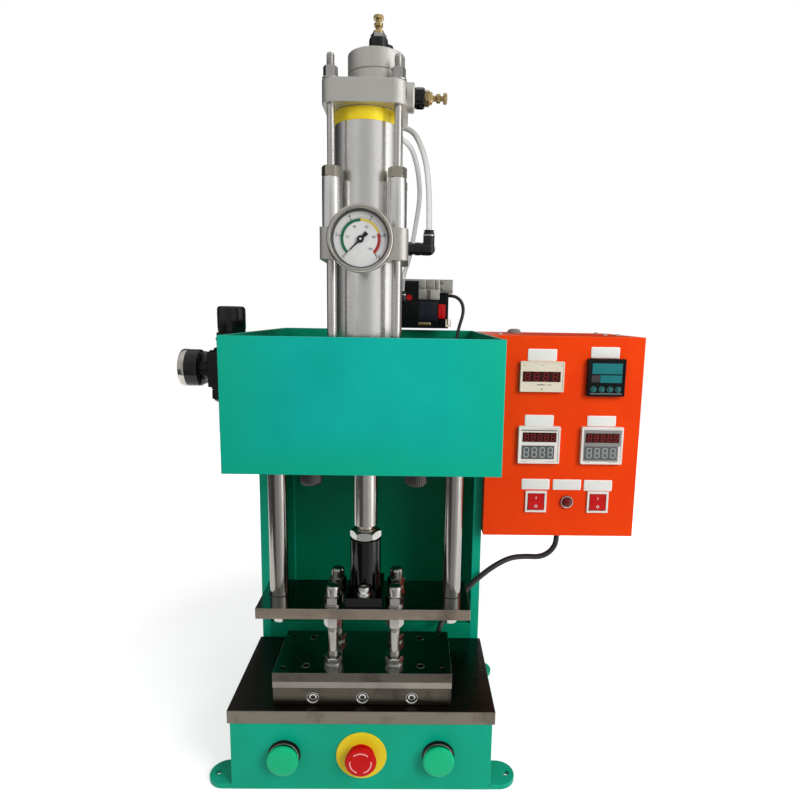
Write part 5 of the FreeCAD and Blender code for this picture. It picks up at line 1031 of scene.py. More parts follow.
def air_hardware():
    """All fittings of the air circuit."""
    bm = bmesh.new()
    top_foot = Vector((12 * MM, PRESS_Y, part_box("top_cap")[1].z))
    throttle(bm, top_foot, UP)
    arm = Vector((1, 1, 0)).normalized()
    lathe(bm, top_foot + UP * 12.7 * MM + arm * 8 * MM, arm, [
        (4.5, 0), (4.5, 9), (4.1, 9.6), (2.5, 10), (2.2, 8)])
    side_foot = Vector((top_high.x, PRESS_Y - 21 * MM, (top_low.z + top_high.z) / 2))
    lathe(bm, side_foot - RIGHT * 1 * MM, RIGHT, [(6, 0), (14.5, 0), (14.5, 6.6), (13.4, 8), (9, 8.2),
                                                  (6, 8.2)], mark=3)
    throttle(bm, side_foot, RIGHT, 2)
    nut(bm, side_foot + RIGHT * 8 * MM, RIGHT, 19 * MM, 9 * MM, 6 * MM)
    lathe(bm, side_foot + RIGHT * 12.7 * MM, BACK, [(4.5, 7), (4.5, 17), (4.1, 17.6), (2.5, 18)])
    corner = Vector((68.5 * MM, PRESS_Y, gauge_z))
    start = Vector((middle_high.x, PRESS_Y, gauge_z))
    nut(bm, start, RIGHT, 13 * MM, 4.5 * MM, 3 * MM)
    lathe(bm, start + RIGHT * 4.5 * MM, RIGHT, [(3, 0), (6.2, 0), (6.2, 2.5), (7, 3), (7, 8.8), (6.4, 9.2),
                                                (6.4, 10.2), (7, 10.6), (7, 18), (3, 18)])
    bmesh.ops.create_uvsphere(bm, u_segments=28, v_segments=16, radius=7 * MM,
                              matrix=Matrix.Translation(corner))
    push_in(bm, corner + UP * 20 * MM, UP, 20 * MM)
    block_low = Vector((-34 * MM, top_high.y, top_low.z - 9 * MM))
    block_high = Vector((-8 * MM, top_high.y + 36 * MM, top_low.z + 21 * MM))
    block(bm, block_low, block_high, 1.5 * MM, 0.6 * MM, mark=3)
    push_in(bm, at(*FRONT_TUBE_ROUTE[-1]), RIGHT, 14.2 * MM)
    push_in(bm, at(*REAR_TUBE_ROUTE[-1]), RIGHT, 14.2 * MM)
    for x in (-27 * MM, -15 * MM):
        socket_head(bm, (x, block_high.y - 8 * MM, block_high.z), UP, 4.2 * MM, 4 * MM, 4 * MM, mark=4,
                    ribs=20)
    valve_mouth = at(*REAR_TUBE_ROUTE[0])
    valve_corner = valve_mouth - UP * 13 * MM
    nut(bm, valve_corner - FORWARD * 9 * MM, FORWARD, 12 * MM, 3 * MM, 3 * MM, mark=1)
    lathe(bm, valve_corner - FORWARD * 6 * MM, FORWARD, [(3, 0), (6.2, 0), (6.2, 6), (3, 6)])
    bmesh.ops.create_uvsphere(bm, u_segments=28, v_segments=16, radius=6.2 * MM,
                              matrix=Matrix.Translation(valve_corner))
    push_in(bm, valve_mouth, UP, 13 * MM)
    return bm


mesh_piece("air_fittings_finished", air_hardware(), [
    gloss_plastic, bright_zinc, brass, cast_aluminium, black_oxide], node="air_fittings")


def adjusting_screw(name, way):
    """A throttle's brass screw: threaded shank, waist, wide flange and a slotted knob end."""
    near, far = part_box(name)
    length = abs((far - near).dot(way))
    start = (near + far) / 2 - way * length / 2
    bm = bmesh.new()
    turned(bm, start, way, [(2.6 * MM, 0), (3.0 * MM, 0.5 * MM), (3.0 * MM, length - 13 * MM)])
    thread(bm, start + way * (length - 15.5 * MM), way, 3.0 * MM, 0.7 * MM, 4.5 * MM)
    head = start + way * (length - 10.8 * MM)
    lathe(bm, head, way, [(2.2, -1), (4.6, 0), (4.6, 3.2), (3.9, 3.6), (2.6, 4.0), (2.6, 6.2), (3.0, 6.6),
                          (ribbed(5.4, 0.35, 28), 6.9), (ribbed(5.4, 0.35, 28), 10.0), (4.9, 10.5),
                          (3.6, 10.8), (3.2, 10.3), (1.0, 10.2)], steps=112)
    mesh_piece(name + "_finished", bm, [brass], 30.0, body=name, node=name)


adjusting_screw("throttle_screw_top", UP)
adjusting_screw("throttle_screw_side", RIGHT)


# Solenoid valve. Black moulded coil housing with a blank dark plate, bright die-cast end blocks, a red
# override cap and a brass tag, behind the head.
nameplate_blue = plain_plastic("nameplate_blue", (0.006, 0.008, 0.014), (0.012, 0.015, 0.024), 0.3, 2200.0,
                               0.05)
dark_plastic = plain_plastic("dark_plastic", (0.003, 0.0035, 0.004), (0.008, 0.0085, 0.009), 0.34,
                             specular=0.16)
red_plastic = plain_plastic("red_plastic", (0.40, 0.003, 0.006), (0.47, 0.006, 0.008), 0.25, 900.0, 0.06)
block_metal = bare_steel("block_metal", (0.62, 0.61, 0.57), (0.36, 0.34, 0.29), 0.34, 0.16, 1400.0, 0.6,
                         (0.92, 0.91, 0.88), 0.0006)


def box_mm(bm, x0, x1, y0, y1, z0, z1, corner=0.0, edge=0.4, axis=2, mark=0):
    """A rounded cuboid written in millimetres."""
    block(bm, at(x0, y0, z0), at(x1, y1, z1), corner * MM, edge * MM, axis, mark)


def valve_housing():
    """Coil housing, plug socket, plate, cap and tag."""
    bm = bmesh.new()
    box_mm(bm, 28, 92, 158, 196, 527, 596.5, 2.0, 0.6)
    box_mm(bm, 28.5, 91.5, 158.4, 195.6, 596, 599, 1.0, 0.3, mark=2)
    box_mm(bm, 62, 88.5, 157.4, 158.2, 538, 567, 0.8, 0.15, 1, mark=1)
    box_mm(bm, 92, 106, 162, 196, 527, 579, 1.6, 0.5)
    box_mm(bm, 90.3, 101.5, 157.5, 162.5, 541.5, 563, 2.2, 0.8, 1, mark=3)
    box_mm(bm, 61, 79.5, 156.8, 158.3, 531, 535.8, 0.5, 0.3, 1, mark=4)
    for x in (63.5, 77.0):
        lathe(bm, at(x, 156.9, 533.4), FORWARD, [(1.3, 0), (1.3, 0.4), (0.9, 0.6)], 16, mark=4)
    for x, height in ((103.0, 540.5), (106.2, 543.0), (109.4, 540.5)):
        box_mm(bm, x - 0.9, x + 0.9, 160.5, 162.3, 531, height, 0.3, 0.2, mark=5)
    box_mm(bm, 102.0, 110.4, 160.2, 162.8, 529.2, 532.5, 0.4, 0.3, mark=5)
    for z in (583.5, 586.0, 588.5, 591.0):
        box_mm(bm, 30.5, 58.5, 157.3, 158.3, z, z + 1.1, 0.0, 0.2)
    lathe(bm, at(47, 158.2, 572), FORWARD, [(4.2, 0), (4.2, 0.9), (3.6, 1.4), (2.6, 1.0)], 32, mark=3)
    return bm


cream_plastic = plain_plastic("cream_plastic", (0.70, 0.60, 0.48), (0.76, 0.67, 0.55), 0.42)
mesh_piece("valve_housing", valve_housing(), [dark_plastic, nameplate_blue, block_metal, red_plastic, brass,
                                              cream_plastic], node="valve_body")


def valve_port_blocks():
    """The two bright blocks: a stepped front one with its bores, a narrow one at the end with a screw."""
    bm = bmesh.new()
    box_mm(bm, 61, 92, 154, 158.2, 569, 584, 0.6, 0.4, 1)
    box_mm(bm, 61, 92, 156, 158.2, 584, 599, 0.6, 0.3, 1)
    for x, width in ((66.5, 5.0), (78.5, 6.5), (88.5, 3.0)):
        box_mm(bm, x - width, x + width, 154, 157, 583.5, 598.4, 1.2, 0.5, 2)
    box_mm(bm, 73.0, 79.5, 153.4, 155, 569.6, 583.4, 0.8, 0.4, 1, mark=1)
    box_mm(bm, 92.2, 112, 158, 195.5, 579, 599, 1.0, 0.4)
    lathe(bm, at(95.5, 158.2, 594), FORWARD, [(1.8, 0), (1.8, 0.5), (0.9, 0.55)], 20, mark=1)
    lathe(bm, at(95.5, 158.2, 584.6), FORWARD, [(1.8, 0), (1.8, 0.5), (0.9, 0.55)], 20, mark=1)
    return bm


shade_metal = bare_steel("shade_metal", (0.24, 0.23, 0.20), (0.12, 0.11, 0.09), 0.4, 0.2, 1400.0, 0.6)
mesh_piece("valve_port_blocks", valve_port_blocks(), [block_metal, shade_metal], node="valve_blocks")


# Filter regulator on the left wall of the head. Die-cast body under black lacquer, ribbed gloss knob on its
# bonnet, smoked bowl below, a small black gauge with a bright rim screwed on its outer side.
black_lacquer = plain_plastic("black_lacquer", (0.006, 0.006, 0.006), (0.014, 0.014, 0.013), 0.33, 700.0, 0.2)
REGULATOR_X = middle_of("regulator_knob").x / MM
REGULATOR_Y = middle_of("regulator_knob").y / MM


def regulator_trim():
    """Collar under the knob, bonnet screws, side plug, bowl ring with its drain, and the gauge's hexagon."""
    bm = bmesh.new()
    x = REGULATOR_X
    y = REGULATOR_Y
    place = at(x, y, 0)
    lathe(bm, place + UP * 496.5 * MM, UP, [(19, 0), (23, 0), (23, 3.5), (22, 4.6), (19.3, 5.2), (19.3, 14),
                                            (20.2, 15), (20.2, 17), (19, 18)], 64, True)
    for turn in (45, 135, 225, 315):
        way = Matrix.Rotation(math.radians(turn), 3, "Z") @ at(28.5, 0, 0)
        socket_head(bm, place + way + UP * 496.8 * MM, UP, 2.6 * MM, 2.4 * MM, 2.4 * MM, mark=1, ribs=16)
    lathe(bm, at(x, y - 25.8, 475), FORWARD, [(10.5, -1), (10.5, 0.6), (9.6, 1.0), (8.6, 1.0), (8.4, 0.4)],
          40)
    nut(bm, at(x - 28, y, 475), LEFT, 30 * MM, 8 * MM, 15 * MM)
    lathe(bm, place + UP * 453.6 * MM, -UP, [(25, 0), (27, 0.4), (27, 4.4), (26.2, 5.0), (25, 5.2)], 64, True)
    lathe(bm, place + UP * 431.6 * MM, -UP, [(5, -1), (5, 3.2), (3.6, 4.0), (3.6, 7.0), (3.0, 7.4),
                                             (1.6, 7.0)], 28)
    for turn in range(0, 360, 30):
        way = Matrix.Rotation(math.radians(turn), 3, "Z") @ at(26, 0, 0)
        rib = place + way + UP * 442.0 * MM
        block(bm, rib - at(1.0, 1.0, 5.5), rib + at(1.0, 1.0, 5.5), 0.5 * MM, 0.3 * MM)
    return bm


rounded_copy("regulator_body", 0.7 * MM, [black_lacquer])
mesh_piece("regulator_trim", regulator_trim(), [black_lacquer, black_oxide])


def knob_shape():
    """Ribbed skirt, stepped top with a shallow dish."""
    bm = bmesh.new()
    foot = at(REGULATOR_X, REGULATOR_Y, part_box("regulator_knob")[0].z / MM)
    ribs = ribbed(17.5, 0.3, 36)
    lathe(bm, foot, UP, [(6.3, 0.3), (15.5, 0.0), (16.8, 0.3), (17.1, 1.2), (17.1, 4.4), (ribs, 5.4),
                         (ribs, 28.5), (17.0, 30.4), (16.0, 32.0), (14.6, 32.8), (12.0, 33.0), (11.4, 32.4),
                         (3.0, 32.4)], 144)
    return bm


mesh_piece("regulator_knob_finished", knob_shape(), [gloss_plastic], 40.0, body="regulator_knob",
           node="regulator_knob")


gauge_low, gauge_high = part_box("regulator_gauge")
side_y = middle_of("regulator_gauge").y
side_z = middle_of("regulator_gauge").z
port_bm = bmesh.new()
block(port_bm, (gauge_high.x - 1 * MM, side_y - 17 * MM, side_z - 21.5 * MM),
      (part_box("regulator_body")[0].x + 1 * MM, side_y + 17 * MM, side_z + 20.5 * MM), 3 * MM, 0.8 * MM,
      axis=0)
mesh_piece("gauge_port", port_bm, [black_lacquer])


def side_gauge():
    """Black case, bright bezel ring, white dial with its scale, facing left."""
    bm = bmesh.new()
    back = Vector((gauge_high.x, side_y, side_z))
    lathe(bm, back, LEFT, [(9, 0), (21.5, 0), (23.2, 1.2), (23.5, 3), (23.5, 17.6), (9, 17.6)], 72)
    lathe(bm, back, LEFT, [(20.4, 17), (23.8, 17), (24, 17.6), (24, 23.0), (23.4, 24.4), (22.2, 25.0),
                           (21.0, 24.8), (20.4, 23.6)], 72, True, 1)
    lathe(bm, back, LEFT, [(1.4, 17), (1.4, 22.2), (0.9, 22.4)], 20, mark=2)
    lathe(bm, back, LEFT, [(20.5, 17.5), (20.5, 20.0)], 64, mark=3)
    scale = dial_print(19.5)
    scale.transform(face_frame(back + LEFT * 19.95 * MM, FORWARD))
    for face in scale.faces:
        face.material_index = 2
    join(bm, scale)
    return bm


mesh_piece("side_gauge", side_gauge(), [gloss_plastic, gauge_steel, ink_black, dial_white],
           node="regulator_gauge")
rounded_copy("regulator_needle", 0.12 * MM, [needle_black], "regulator_needle")
pane_bm = bmesh.new()
lathe(pane_bm, (gauge_low.x + 1.9 * MM, side_y, side_z), LEFT, [(20.6, 0), (20.6, 0.6), (20.4, 0.7)], 56)
mesh_piece("side_gauge_glass", pane_bm, [clear_pane])


# Control box. Folded sheet with orange enamel, its front panel screwed on; four instruments, two rocker
# switches and a pilot lamp in the panel, blank white plates over them.
orange_enamel = enamel("orange_enamel", (0.77, 0.041, 0.001), (0.81, 0.051, 0.001), (0.95, 0.30, 0.12), 0.38)
rounded_copy("control_box", 1.0 * MM, [orange_enamel])
rounded_copy("control_box_lid", 1.0 * MM, [orange_enamel])
white_plastic = plain_plastic("white_plastic", (0.72, 0.66, 0.61), (0.78, 0.73, 0.69), 0.36)
label_white = plain_plastic("label_white", (0.70, 0.68, 0.65), (0.74, 0.73, 0.71), 0.5)
label_edge = plain_plastic("label_edge", (0.84, 0.76, 0.72), (0.88, 0.82, 0.78), 0.4)
PANEL_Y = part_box("control_box_lid")[0].y / MM
COLUMNS = (218.5, 259.5, 300.5)
METER_Z = 471.5
TIMER_Z = 382.5
SWITCH_Z = 305.5
LABELS = ((199.8, 237.0, 491.3, 506.6), (280.7, 317.5, 496.0, 510.1), (199.5, 236.9, 407.0, 421.3),
          (280.9, 318.2, 407.5, 421.2), (198.9, 235.7, 321.7, 335.9), (240.2, 277.5, 321.5, 335.6),
          (281.3, 318.7, 320.6, 335.2))


def blank_plates():
    """Seven plain label plates, each a rounded white sheet with a printed grey field."""
    bm = bmesh.new()
    for x0, x1, z0, z1 in LABELS:
        box_mm(bm, x0, x1, PANEL_Y - 0.8, PANEL_Y + 0.2, z0, z1, 1.4, 0.25, 1, mark=1)
        box_mm(bm, x0 + 1.2, x1 - 1.2, PANEL_Y - 0.9, PANEL_Y, z0 + 1.2, z1 - 1.2, 0.8, 0.0, 1)
    return bm


mesh_piece("blank_plates", blank_plates(), [label_white, label_edge])


# Counter and timers. Moulded cream and white bezels with dark filter windows; behind the windows stand
# seven-segment figures, unlit red ones above and pale ones below.
SEGMENTS = ((0.5, 1.0, False), (1.0, 0.75, True), (1.0, 0.25, True), (0.5, 0.0, False), (0.0, 0.25, True),
            (0.0, 0.75, True), (0.5, 0.5, False))


def digit(bm, x, z, width, height, mark, thick, base, slant=0.08):
    """A seven-segment figure eight, its bars with pointed ends, standing on a window, in millimetres."""
    for across, up, upright in SEGMENTS:
        length = (height / 2 if upright else width) - thick * 0.3
        reach = Vector((thick, length, 0) if upright else (length, thick, 0)) / 2
        centre = Vector((x + (across - 0.5) * width + (up - 0.5) * height * slant, z + (up - 0.5) * height,
                         base))
        add_shape(bm, cuboid(centre - reach, centre + reach + Vector((0, 0, 0.15)), thick * 0.49, 2, 1), mark)


def framed(bm, x0, x1, z0, z1, front, back, rim, sink, corner, mark):
    """A bezel on the panel whose face is sunk inside a raised rim, in millimetres."""
    part = cuboid(at(x0, front, z0), at(x1, back, z1))
    outline = [side for side in part.edges if abs(side.verts[0].co.y - side.verts[1].co.y) > 0.1 * MM]
    face = min(part.faces, key=lambda one: one.calc_center_median().y)
    bmesh.ops.inset_individual(part, faces=[face], thickness=rim * MM, use_even_offset=True)
    bmesh.ops.inset_individual(part, faces=[face], thickness=0.3 * MM, use_even_offset=True)
    bmesh.ops.translate(part, vec=(0, sink * MM, 0), verts=face.verts)
    bevel_edges(part, outline, corner * MM, 3)
    add_shape(bm, part, mark)


def on_panel(bm, drawing, x, z, y):
    """Moves a flat drawing in millimetres on a plane in front of the panel and adds it to a piece."""
    drawing.transform(face_frame(at(x, y, z)))
    join(bm, drawing)


red_window = plain_plastic("red_window", (0.022, 0.002, 0.002), (0.034, 0.003, 0.003), 0.12, 500.0, 0.01)
red_figure = plain_plastic("red_figure", (0.17, 0.008, 0.008), (0.21, 0.012, 0.010), 0.3, 900.0, 0.02)
grey_window = plain_plastic("grey_window", (0.085, 0.090, 0.092), (0.105, 0.110, 0.112), 0.25, 500.0, 0.02)
pale_figure = plain_plastic("pale_figure", (0.30, 0.32, 0.315), (0.37, 0.39, 0.385), 0.4, 900.0, 0.02)
grey_surround = plain_plastic("grey_surround", (0.20, 0.19, 0.18), (0.25, 0.24, 0.23), 0.4)
METER_DEPTH = 70.0


def instruments():
    """The counter above the left timer, and the right timer with its grey surround."""
    bm = bmesh.new()
    left = COLUMNS[0]
    right = COLUMNS[2]
    front = PANEL_Y - 6
    for x, z, wide, high in ((left, METER_Z, 26, 15.5), (left, TIMER_Z, 25.5, 21),
                             (right, TIMER_Z, 25.5, 21)):
        box_mm(bm, x - wide, x + wide, PANEL_Y, PANEL_Y + METER_DEPTH, z - high, z + high, 1.0, 0.4, 1,
               mark=7)
    framed(bm, left - 28, left + 28, METER_Z - 19.5, METER_Z + 19.5, front, PANEL_Y, 1.6, 0.5, 0.9, 0)
    face = bmesh.new()
    bar(face, -25.2, 23.4, -6.6, 6.6, 0.3, 2, 0.0, 0.15)
    for number in range(4):
        digit(face, -19.2 + number * 11.9, 0.0, 5.6, 9.6, 3, 1.1, 0.3)
    for x in (-24, 0.5, 24):
        bar(face, x - 1.2, x + 1.2, 14.2, 14.9, 0.12, 5)
    bar(face, -6.5, 3.5, -11.0, -9.6, 0.12, 5)
    bar(face, 6.0, 12.0, -10.8, -9.9, 0.12, 5)
    bar(face, -1.5, 1.5, -16.6, -15.2, 0.12, 5)
    on_panel(bm, face, left, METER_Z, front + 0.5)
    for x in (left, right):
        z = TIMER_Z
        framed(bm, x - 27, x + 27, z - 24.5, z + 24.5, front, PANEL_Y, 2.2, 0.7, 1.2, 1)
        face = bmesh.new()
        if x == right:
            bar(face, -24.0, 24.2, -0.6, 20.8, 0.25, 5)
            bar(face, -24.0, 21.6, -20.6, -0.6, 0.25, 5)
        else:
            bar(face, -24.0, 22.6, 18.4, 20.2, 0.15, 5)
        bar(face, -22.0, 22.2, 4.0, 16.6, 0.45, 2, 0.0, 0.15)
        bar(face, -22.6, 20.0, -18.6, -0.6, 0.45, 4, 0.0, 0.15)
        for number in range(5):
            digit(face, -16.6 + number * 8.6, 10.3, 4.6, 8.6, 3, 1.0, 0.45)
        for number in range(4):
            digit(face, -16.4 + number * 10.4, -9.6, 5.6, 12.2, 6, 1.25, 0.45, 0.0)
        for start, end in ((-22, -15), (10, 21)):
            bar(face, start, end, -22.4, -21.6, 0.12, 5)
        on_panel(bm, face, x, z, front + 0.7)
    return bm


mesh_piece("counter_and_timers_finished", instruments(), [
    cream_plastic, white_plastic, red_window, red_figure, grey_window, grey_surround, pale_figure,
    dark_plastic], node="counter_and_timers")


# Temperature controller. Black moulded case, teal display filter, four soft keys in teal rings.
teal_screen = plain_plastic("teal_screen", (0.010, 0.150, 0.160), (0.014, 0.175, 0.185), 0.14, 400.0, 0.01)
teal_print = printed("teal_print", (0.020, 0.24, 0.25), (0.03, 0.28, 0.29))
key_teal = plain_plastic("key_teal", (0.030, 0.12, 0.125), (0.045, 0.16, 0.165), 0.4)
brown_square = plain_plastic("brown_square", (0.050, 0.038, 0.040), (0.062, 0.048, 0.050), 0.3)
strip_grey = plain_plastic("strip_grey", (0.13, 0.14, 0.14), (0.17, 0.18, 0.18), 0.4)


def controller_face():
    """Bezel, the two display fields, the dark square, the strip and the rings round the keys."""
    bm = bmesh.new()
    x = COLUMNS[2]
    front = PANEL_Y - 7
    box_mm(bm, x - 22, x + 22, PANEL_Y, PANEL_Y + METER_DEPTH, METER_Z - 22, METER_Z + 22, 1.0, 0.4, 1)
    framed(bm, x - 24, x + 24, METER_Z - 24, METER_Z + 24, front, PANEL_Y, 1.8, 0.6, 1.2, 0)
    face = bmesh.new()
    bar(face, -18.8, 19.8, 4.6, 18.2, 0.3, 1, 0.0, 0.15)
    bar(face, -18.8, 19.8, 3.4, 4.4, 0.35, 0)
    bar(face, -8.2, 19.8, -6.6, 3.2, 0.3, 1, 0.0, 0.15)
    bar(face, -19.4, -8.6, -6.0, 3.0, 0.35, 3, 0.0, 0.15)
    bar(face, -18.8, 19.8, -9.4, -7.6, 0.2, 0)
    bar(face, -20.0, 20.6, -21.4, -20.0, 0.35, 4)
    for number in range(4):
        ring = bmesh.new()
        arc_band(ring, 3.0, 3.6, 0.0, 350.0, 0.14, 2)
        arc_band(ring, 3.0, 3.6, 349.0, 361.0, 0.14, 2)
        bmesh.ops.translate(ring, vec=((number - 1.5) * 10.6, -15.0, 0), verts=ring.verts)
        join(face, ring)
    on_panel(bm, face, x, METER_Z, front + 0.6)
    return bm


mesh_piece("controller_face", controller_face(), [dark_plastic, teal_screen, teal_print, brown_square,
                                                  strip_grey], node="temperature_controller")
for number in range(1, 5):
    rounded_copy("controller_key_%d" % number, 0.35 * MM, [key_teal], "controller_key_%d" % number)


# Rocker switches and pilot lamp. White snap-in frames, red rockers with a moulded stroke and ring, a lamp
# with a faceted red lens in a bright ring; the gland and the grommet are black and grey plastic.
rocker_red = plain_plastic("rocker_red", (0.47, 0.004, 0.004), (0.54, 0.008, 0.006), 0.2, 900.0, 0.03)
lens_red = plain_plastic("lens_red", (0.11, 0.003, 0.003), (0.19, 0.005, 0.005), 0.12, 900.0, 0.02)
fittings_piece = rounded_copy("panel_fittings", 0.5 * MM, [white_plastic, gauge_steel, lens_red])


def fitting_marks(middle, way):
    """White frames, a bright lamp ring, a red lens."""
    off = Vector((middle.x - COLUMNS[1], middle.z - SWITCH_Z)).length
    if off > 10:
        return 0
    return 2 if off < 6.3 and middle.y < PANEL_Y - 0.5 else 1


mark_faces(fittings_piece, fitting_marks)
lens_bm = bmesh.new()
lens_foot = at(COLUMNS[1], PANEL_Y - 3.0, SWITCH_Z)
lathe(lens_bm, lens_foot, FORWARD, [(8.5, -2.9), (8.5, -0.6), (8.0, 0.0), (6.9, 0.2), (6.6, -0.6),
                                    (6.5, -1.4)], 56, True, 1)
lathe(lens_bm, lens_foot, FORWARD, [(ribbed(6.4, 0.25, 24), -1.5), (ribbed(6.1, 0.25, 24), 0.4), (5.2, 1.4),
                                    (ribbed(4.0, 0.3, 12), 2.0), (2.0, 2.3)], 72)
mesh_piece("pilot_lens", lens_bm, [lens_red, gauge_steel], 28.0)
# Painted shade: thin dark bars in the gap round each rocker, standing for the shade inside its frame.
GAP_SHADE_WIDTH = 0.7
gap_shade_bm = bmesh.new()
for name in ("rocker_left", "rocker_right"):
    near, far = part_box(name)
    wide = (far.x - near.x) / 2 / MM + 0.1
    high = (far.z - near.z) / 2 / MM + 0.1
    gap = bmesh.new()
    bar(gap, -wide - GAP_SHADE_WIDTH, wide + GAP_SHADE_WIDTH, high, high + GAP_SHADE_WIDTH)
    bar(gap, -wide - GAP_SHADE_WIDTH, wide + GAP_SHADE_WIDTH, -high - GAP_SHADE_WIDTH, -high)
    bar(gap, -wide - GAP_SHADE_WIDTH, -wide, -high, high)
    bar(gap, wide, wide + GAP_SHADE_WIDTH, -high, high)
    on_panel(gap_shade_bm, gap, middle_of(name).x / MM, SWITCH_Z, PANEL_Y - 2.45)
mesh_piece("rocker_gaps_painted_shade", gap_shade_bm, [dark_plastic])
# For the marks on the upper and the lower half of a rocker's face, in millimetres: how deep the mark lies,
# its height over the switch's middle, and the way that the face runs upwards there.
ROCKER_UPPER = (11.585, 5.2, (0, -0.577, 11.0))
ROCKER_LOWER = (10.475, -5.8, (0, 2.355, 10.2))
for name, x in (("rocker_left", COLUMNS[0]), ("rocker_right", COLUMNS[2])):
    rounded_copy(name, 0.5 * MM, [rocker_red], name)
    stroke = bmesh.new()
    bar(stroke, -0.35, 0.35, -1.7, 1.7, 0.2)
    ring = bmesh.new()
    arc_band(ring, 1.2, 1.75, 0.0, 180.0, 0.2)
    arc_band(ring, 1.2, 1.75, 180.0, 360.0, 0.2)
    marks = bmesh.new()
    for drawing, (y, lift, lean) in ((stroke, ROCKER_UPPER), (ring, ROCKER_LOWER)):
        drawing.transform(face_frame(at(x, y, SWITCH_Z + lift), RIGHT, lean))
        join(marks, drawing)
    mesh_piece(name + "_marks", marks, [ink_white], body=name)


BOX_TOP = 523
GLAND = at(257, 46, 258)
DOME = at(200, 126, BOX_TOP)
LID_SCREWS = ((320, 86), (336, 82), (170, 60), (330, 160))


def box_hardware():
    """Cable gland with its ribbed nut, the domed grommet, and the screws of the top and the panel's edge."""
    bm = bmesh.new()
    nut(bm, GLAND, -UP, 20 * MM, 5 * MM, 4 * MM)
    lathe(bm, GLAND - UP * 4.8 * MM, -UP, [(4, 0), (ribbed(9.0, 0.5, 18), 0.3), (ribbed(8.6, 0.5, 18), 3.2),
                                           (7.2, 4.8), (5.3, 6.2), (4.0, 6.2)], 72, True)
    lathe(bm, GLAND - UP * 1 * MM, UP, [(7.4, 0), (7.4, 9)], 32)
    lathe(bm, DOME, UP, [(11, 0), (11, 1.0), (9.6, 1.6), (9.0, 3.6), (7.2, 5.2), (4.4, 6.0), (3.8, 4.6),
                         (1, 4.4)], 48, mark=1)
    for x, y in LID_SCREWS:
        lathe(bm, at(x, y, BOX_TOP), UP, [(3.0, -1), (3.6, 0.0), (3.4, 1.0), (2.2, 1.9), (1.0, 2.1)], 28,
              mark=2)
    return bm


grey_plastic = plain_plastic("grey_plastic", (0.16, 0.14, 0.13), (0.22, 0.20, 0.19), 0.42)
mesh_piece("box_hardware", box_hardware(), [dark_plastic, grey_plastic, bright_zinc], node="cable_glands")
relay_cream = plain_plastic("relay_cream", (0.62, 0.60, 0.54), (0.68, 0.66, 0.60), 0.5)
rounded_copy("relay_and_terminals", 0.8 * MM, [relay_cream])
# The bottom cover gets the darker copy of the enamel: painted shade.
rounded_copy("bottom_cover", 0.4 * MM, [painted_shade_enamel])
rounded_copy("booster_piston", 0.6 * MM, [barrel_aluminium])


# Run buttons and emergency stop. Satin green mushroom heads over black and bright collars; the stop is a
# glossy red twist-release head on a yellow plate, with three pale arrows moulded in its face.
button_green = plain_plastic("button_green", (0.001, 0.42, 0.175), (0.002, 0.47, 0.215), 0.40, 900.0, 0.08)
stop_red = plain_plastic("stop_red", (0.50, 0.001, 0.001), (0.58, 0.002, 0.002), 0.28, 900.0, 0.05, 0.15)
moulded_pink = plain_plastic("stop_arrow_pink", (0.86, 0.36, 0.34), (0.92, 0.42, 0.40), 0.4, 900.0, 0.05)
stop_yellow = plain_plastic("stop_yellow", (0.75, 0.56, 0.014), (0.82, 0.63, 0.018), 0.4, 900.0, 0.06)
BUTTON_Z = 44.5
FRONT_Y = base_low.y / MM
bases = rounded_copy("button_bases", 0.5 * MM, [dark_plastic, stop_yellow, black_oxide, stop_red])


def base_marks(middle, way):
    """Yellow stop plate with a red collar on it, rims on the run buttons' collars, black elsewhere."""
    off = math.hypot(middle.x, middle.z - BUTTON_Z)
    if off < 31:
        if middle.y > FRONT_Y + 0.1:
            return 0
        return 1 if off > 15.1 or middle.y > FRONT_Y - 1.6 else 3
    return 2 if middle.y < FRONT_Y - 0.05 and abs(way.y) < 0.5 else 0


mark_faces(bases, base_marks)


def head_size(name):
    """The middle of a push head's back, its radius and its length in millimetres."""
    near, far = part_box(name)
    foot = Vector((middle_of(name).x, far.y, BUTTON_Z * MM))
    return foot, (far.x - near.x) / 2 / MM, (far.y - near.y) / MM


for name in ("button_left", "button_right"):
    bm = bmesh.new()
    foot, radius, length = head_size(name)
    lathe(bm, foot, FORWARD, [(5, 0), (5, length - 6.4), (radius - 2.0, length - 6.4),
                              (radius - 0.4, length - 6.0), (radius, length - 5.2), (radius, length - 3.0),
                              (radius - 0.5, length - 1.9), (radius - 1.7, length - 1.1),
                              (radius - 3.5, length - 0.75), (radius * 0.6, length - 0.35),
                              (radius * 0.3, length - 0.1), (1.0, length)], 72)
    mesh_piece(name + "_finished", bm, [button_green], 40.0, name, name)
bm = bmesh.new()
foot, radius, length = head_size("estop_head")
lathe(bm, foot, FORWARD, [(5, 0), (5, length - 6.4), (radius - 4.4, length - 6.4),
                          (ribbed(radius - 2.6, 0.4, 30), length - 6.2),
                          (ribbed(radius - 2.2, 0.4, 30), length - 4.6), (radius - 0.3, length - 4.2),
                          (radius, length - 3.4), (radius, length - 2.4), (radius - 0.6, length - 1.4),
                          (radius - 1.9, length - 0.7), (radius - 3.4, length - 0.5),
                          (radius * 0.66, length - 0.35), (radius * 0.3, length - 0.1), (1.0, length)], 120)
ARROW_TURN = 78
ARROW_SUNK = 0.42
ARROW_LIFT = 0.22
arrows = bmesh.new()
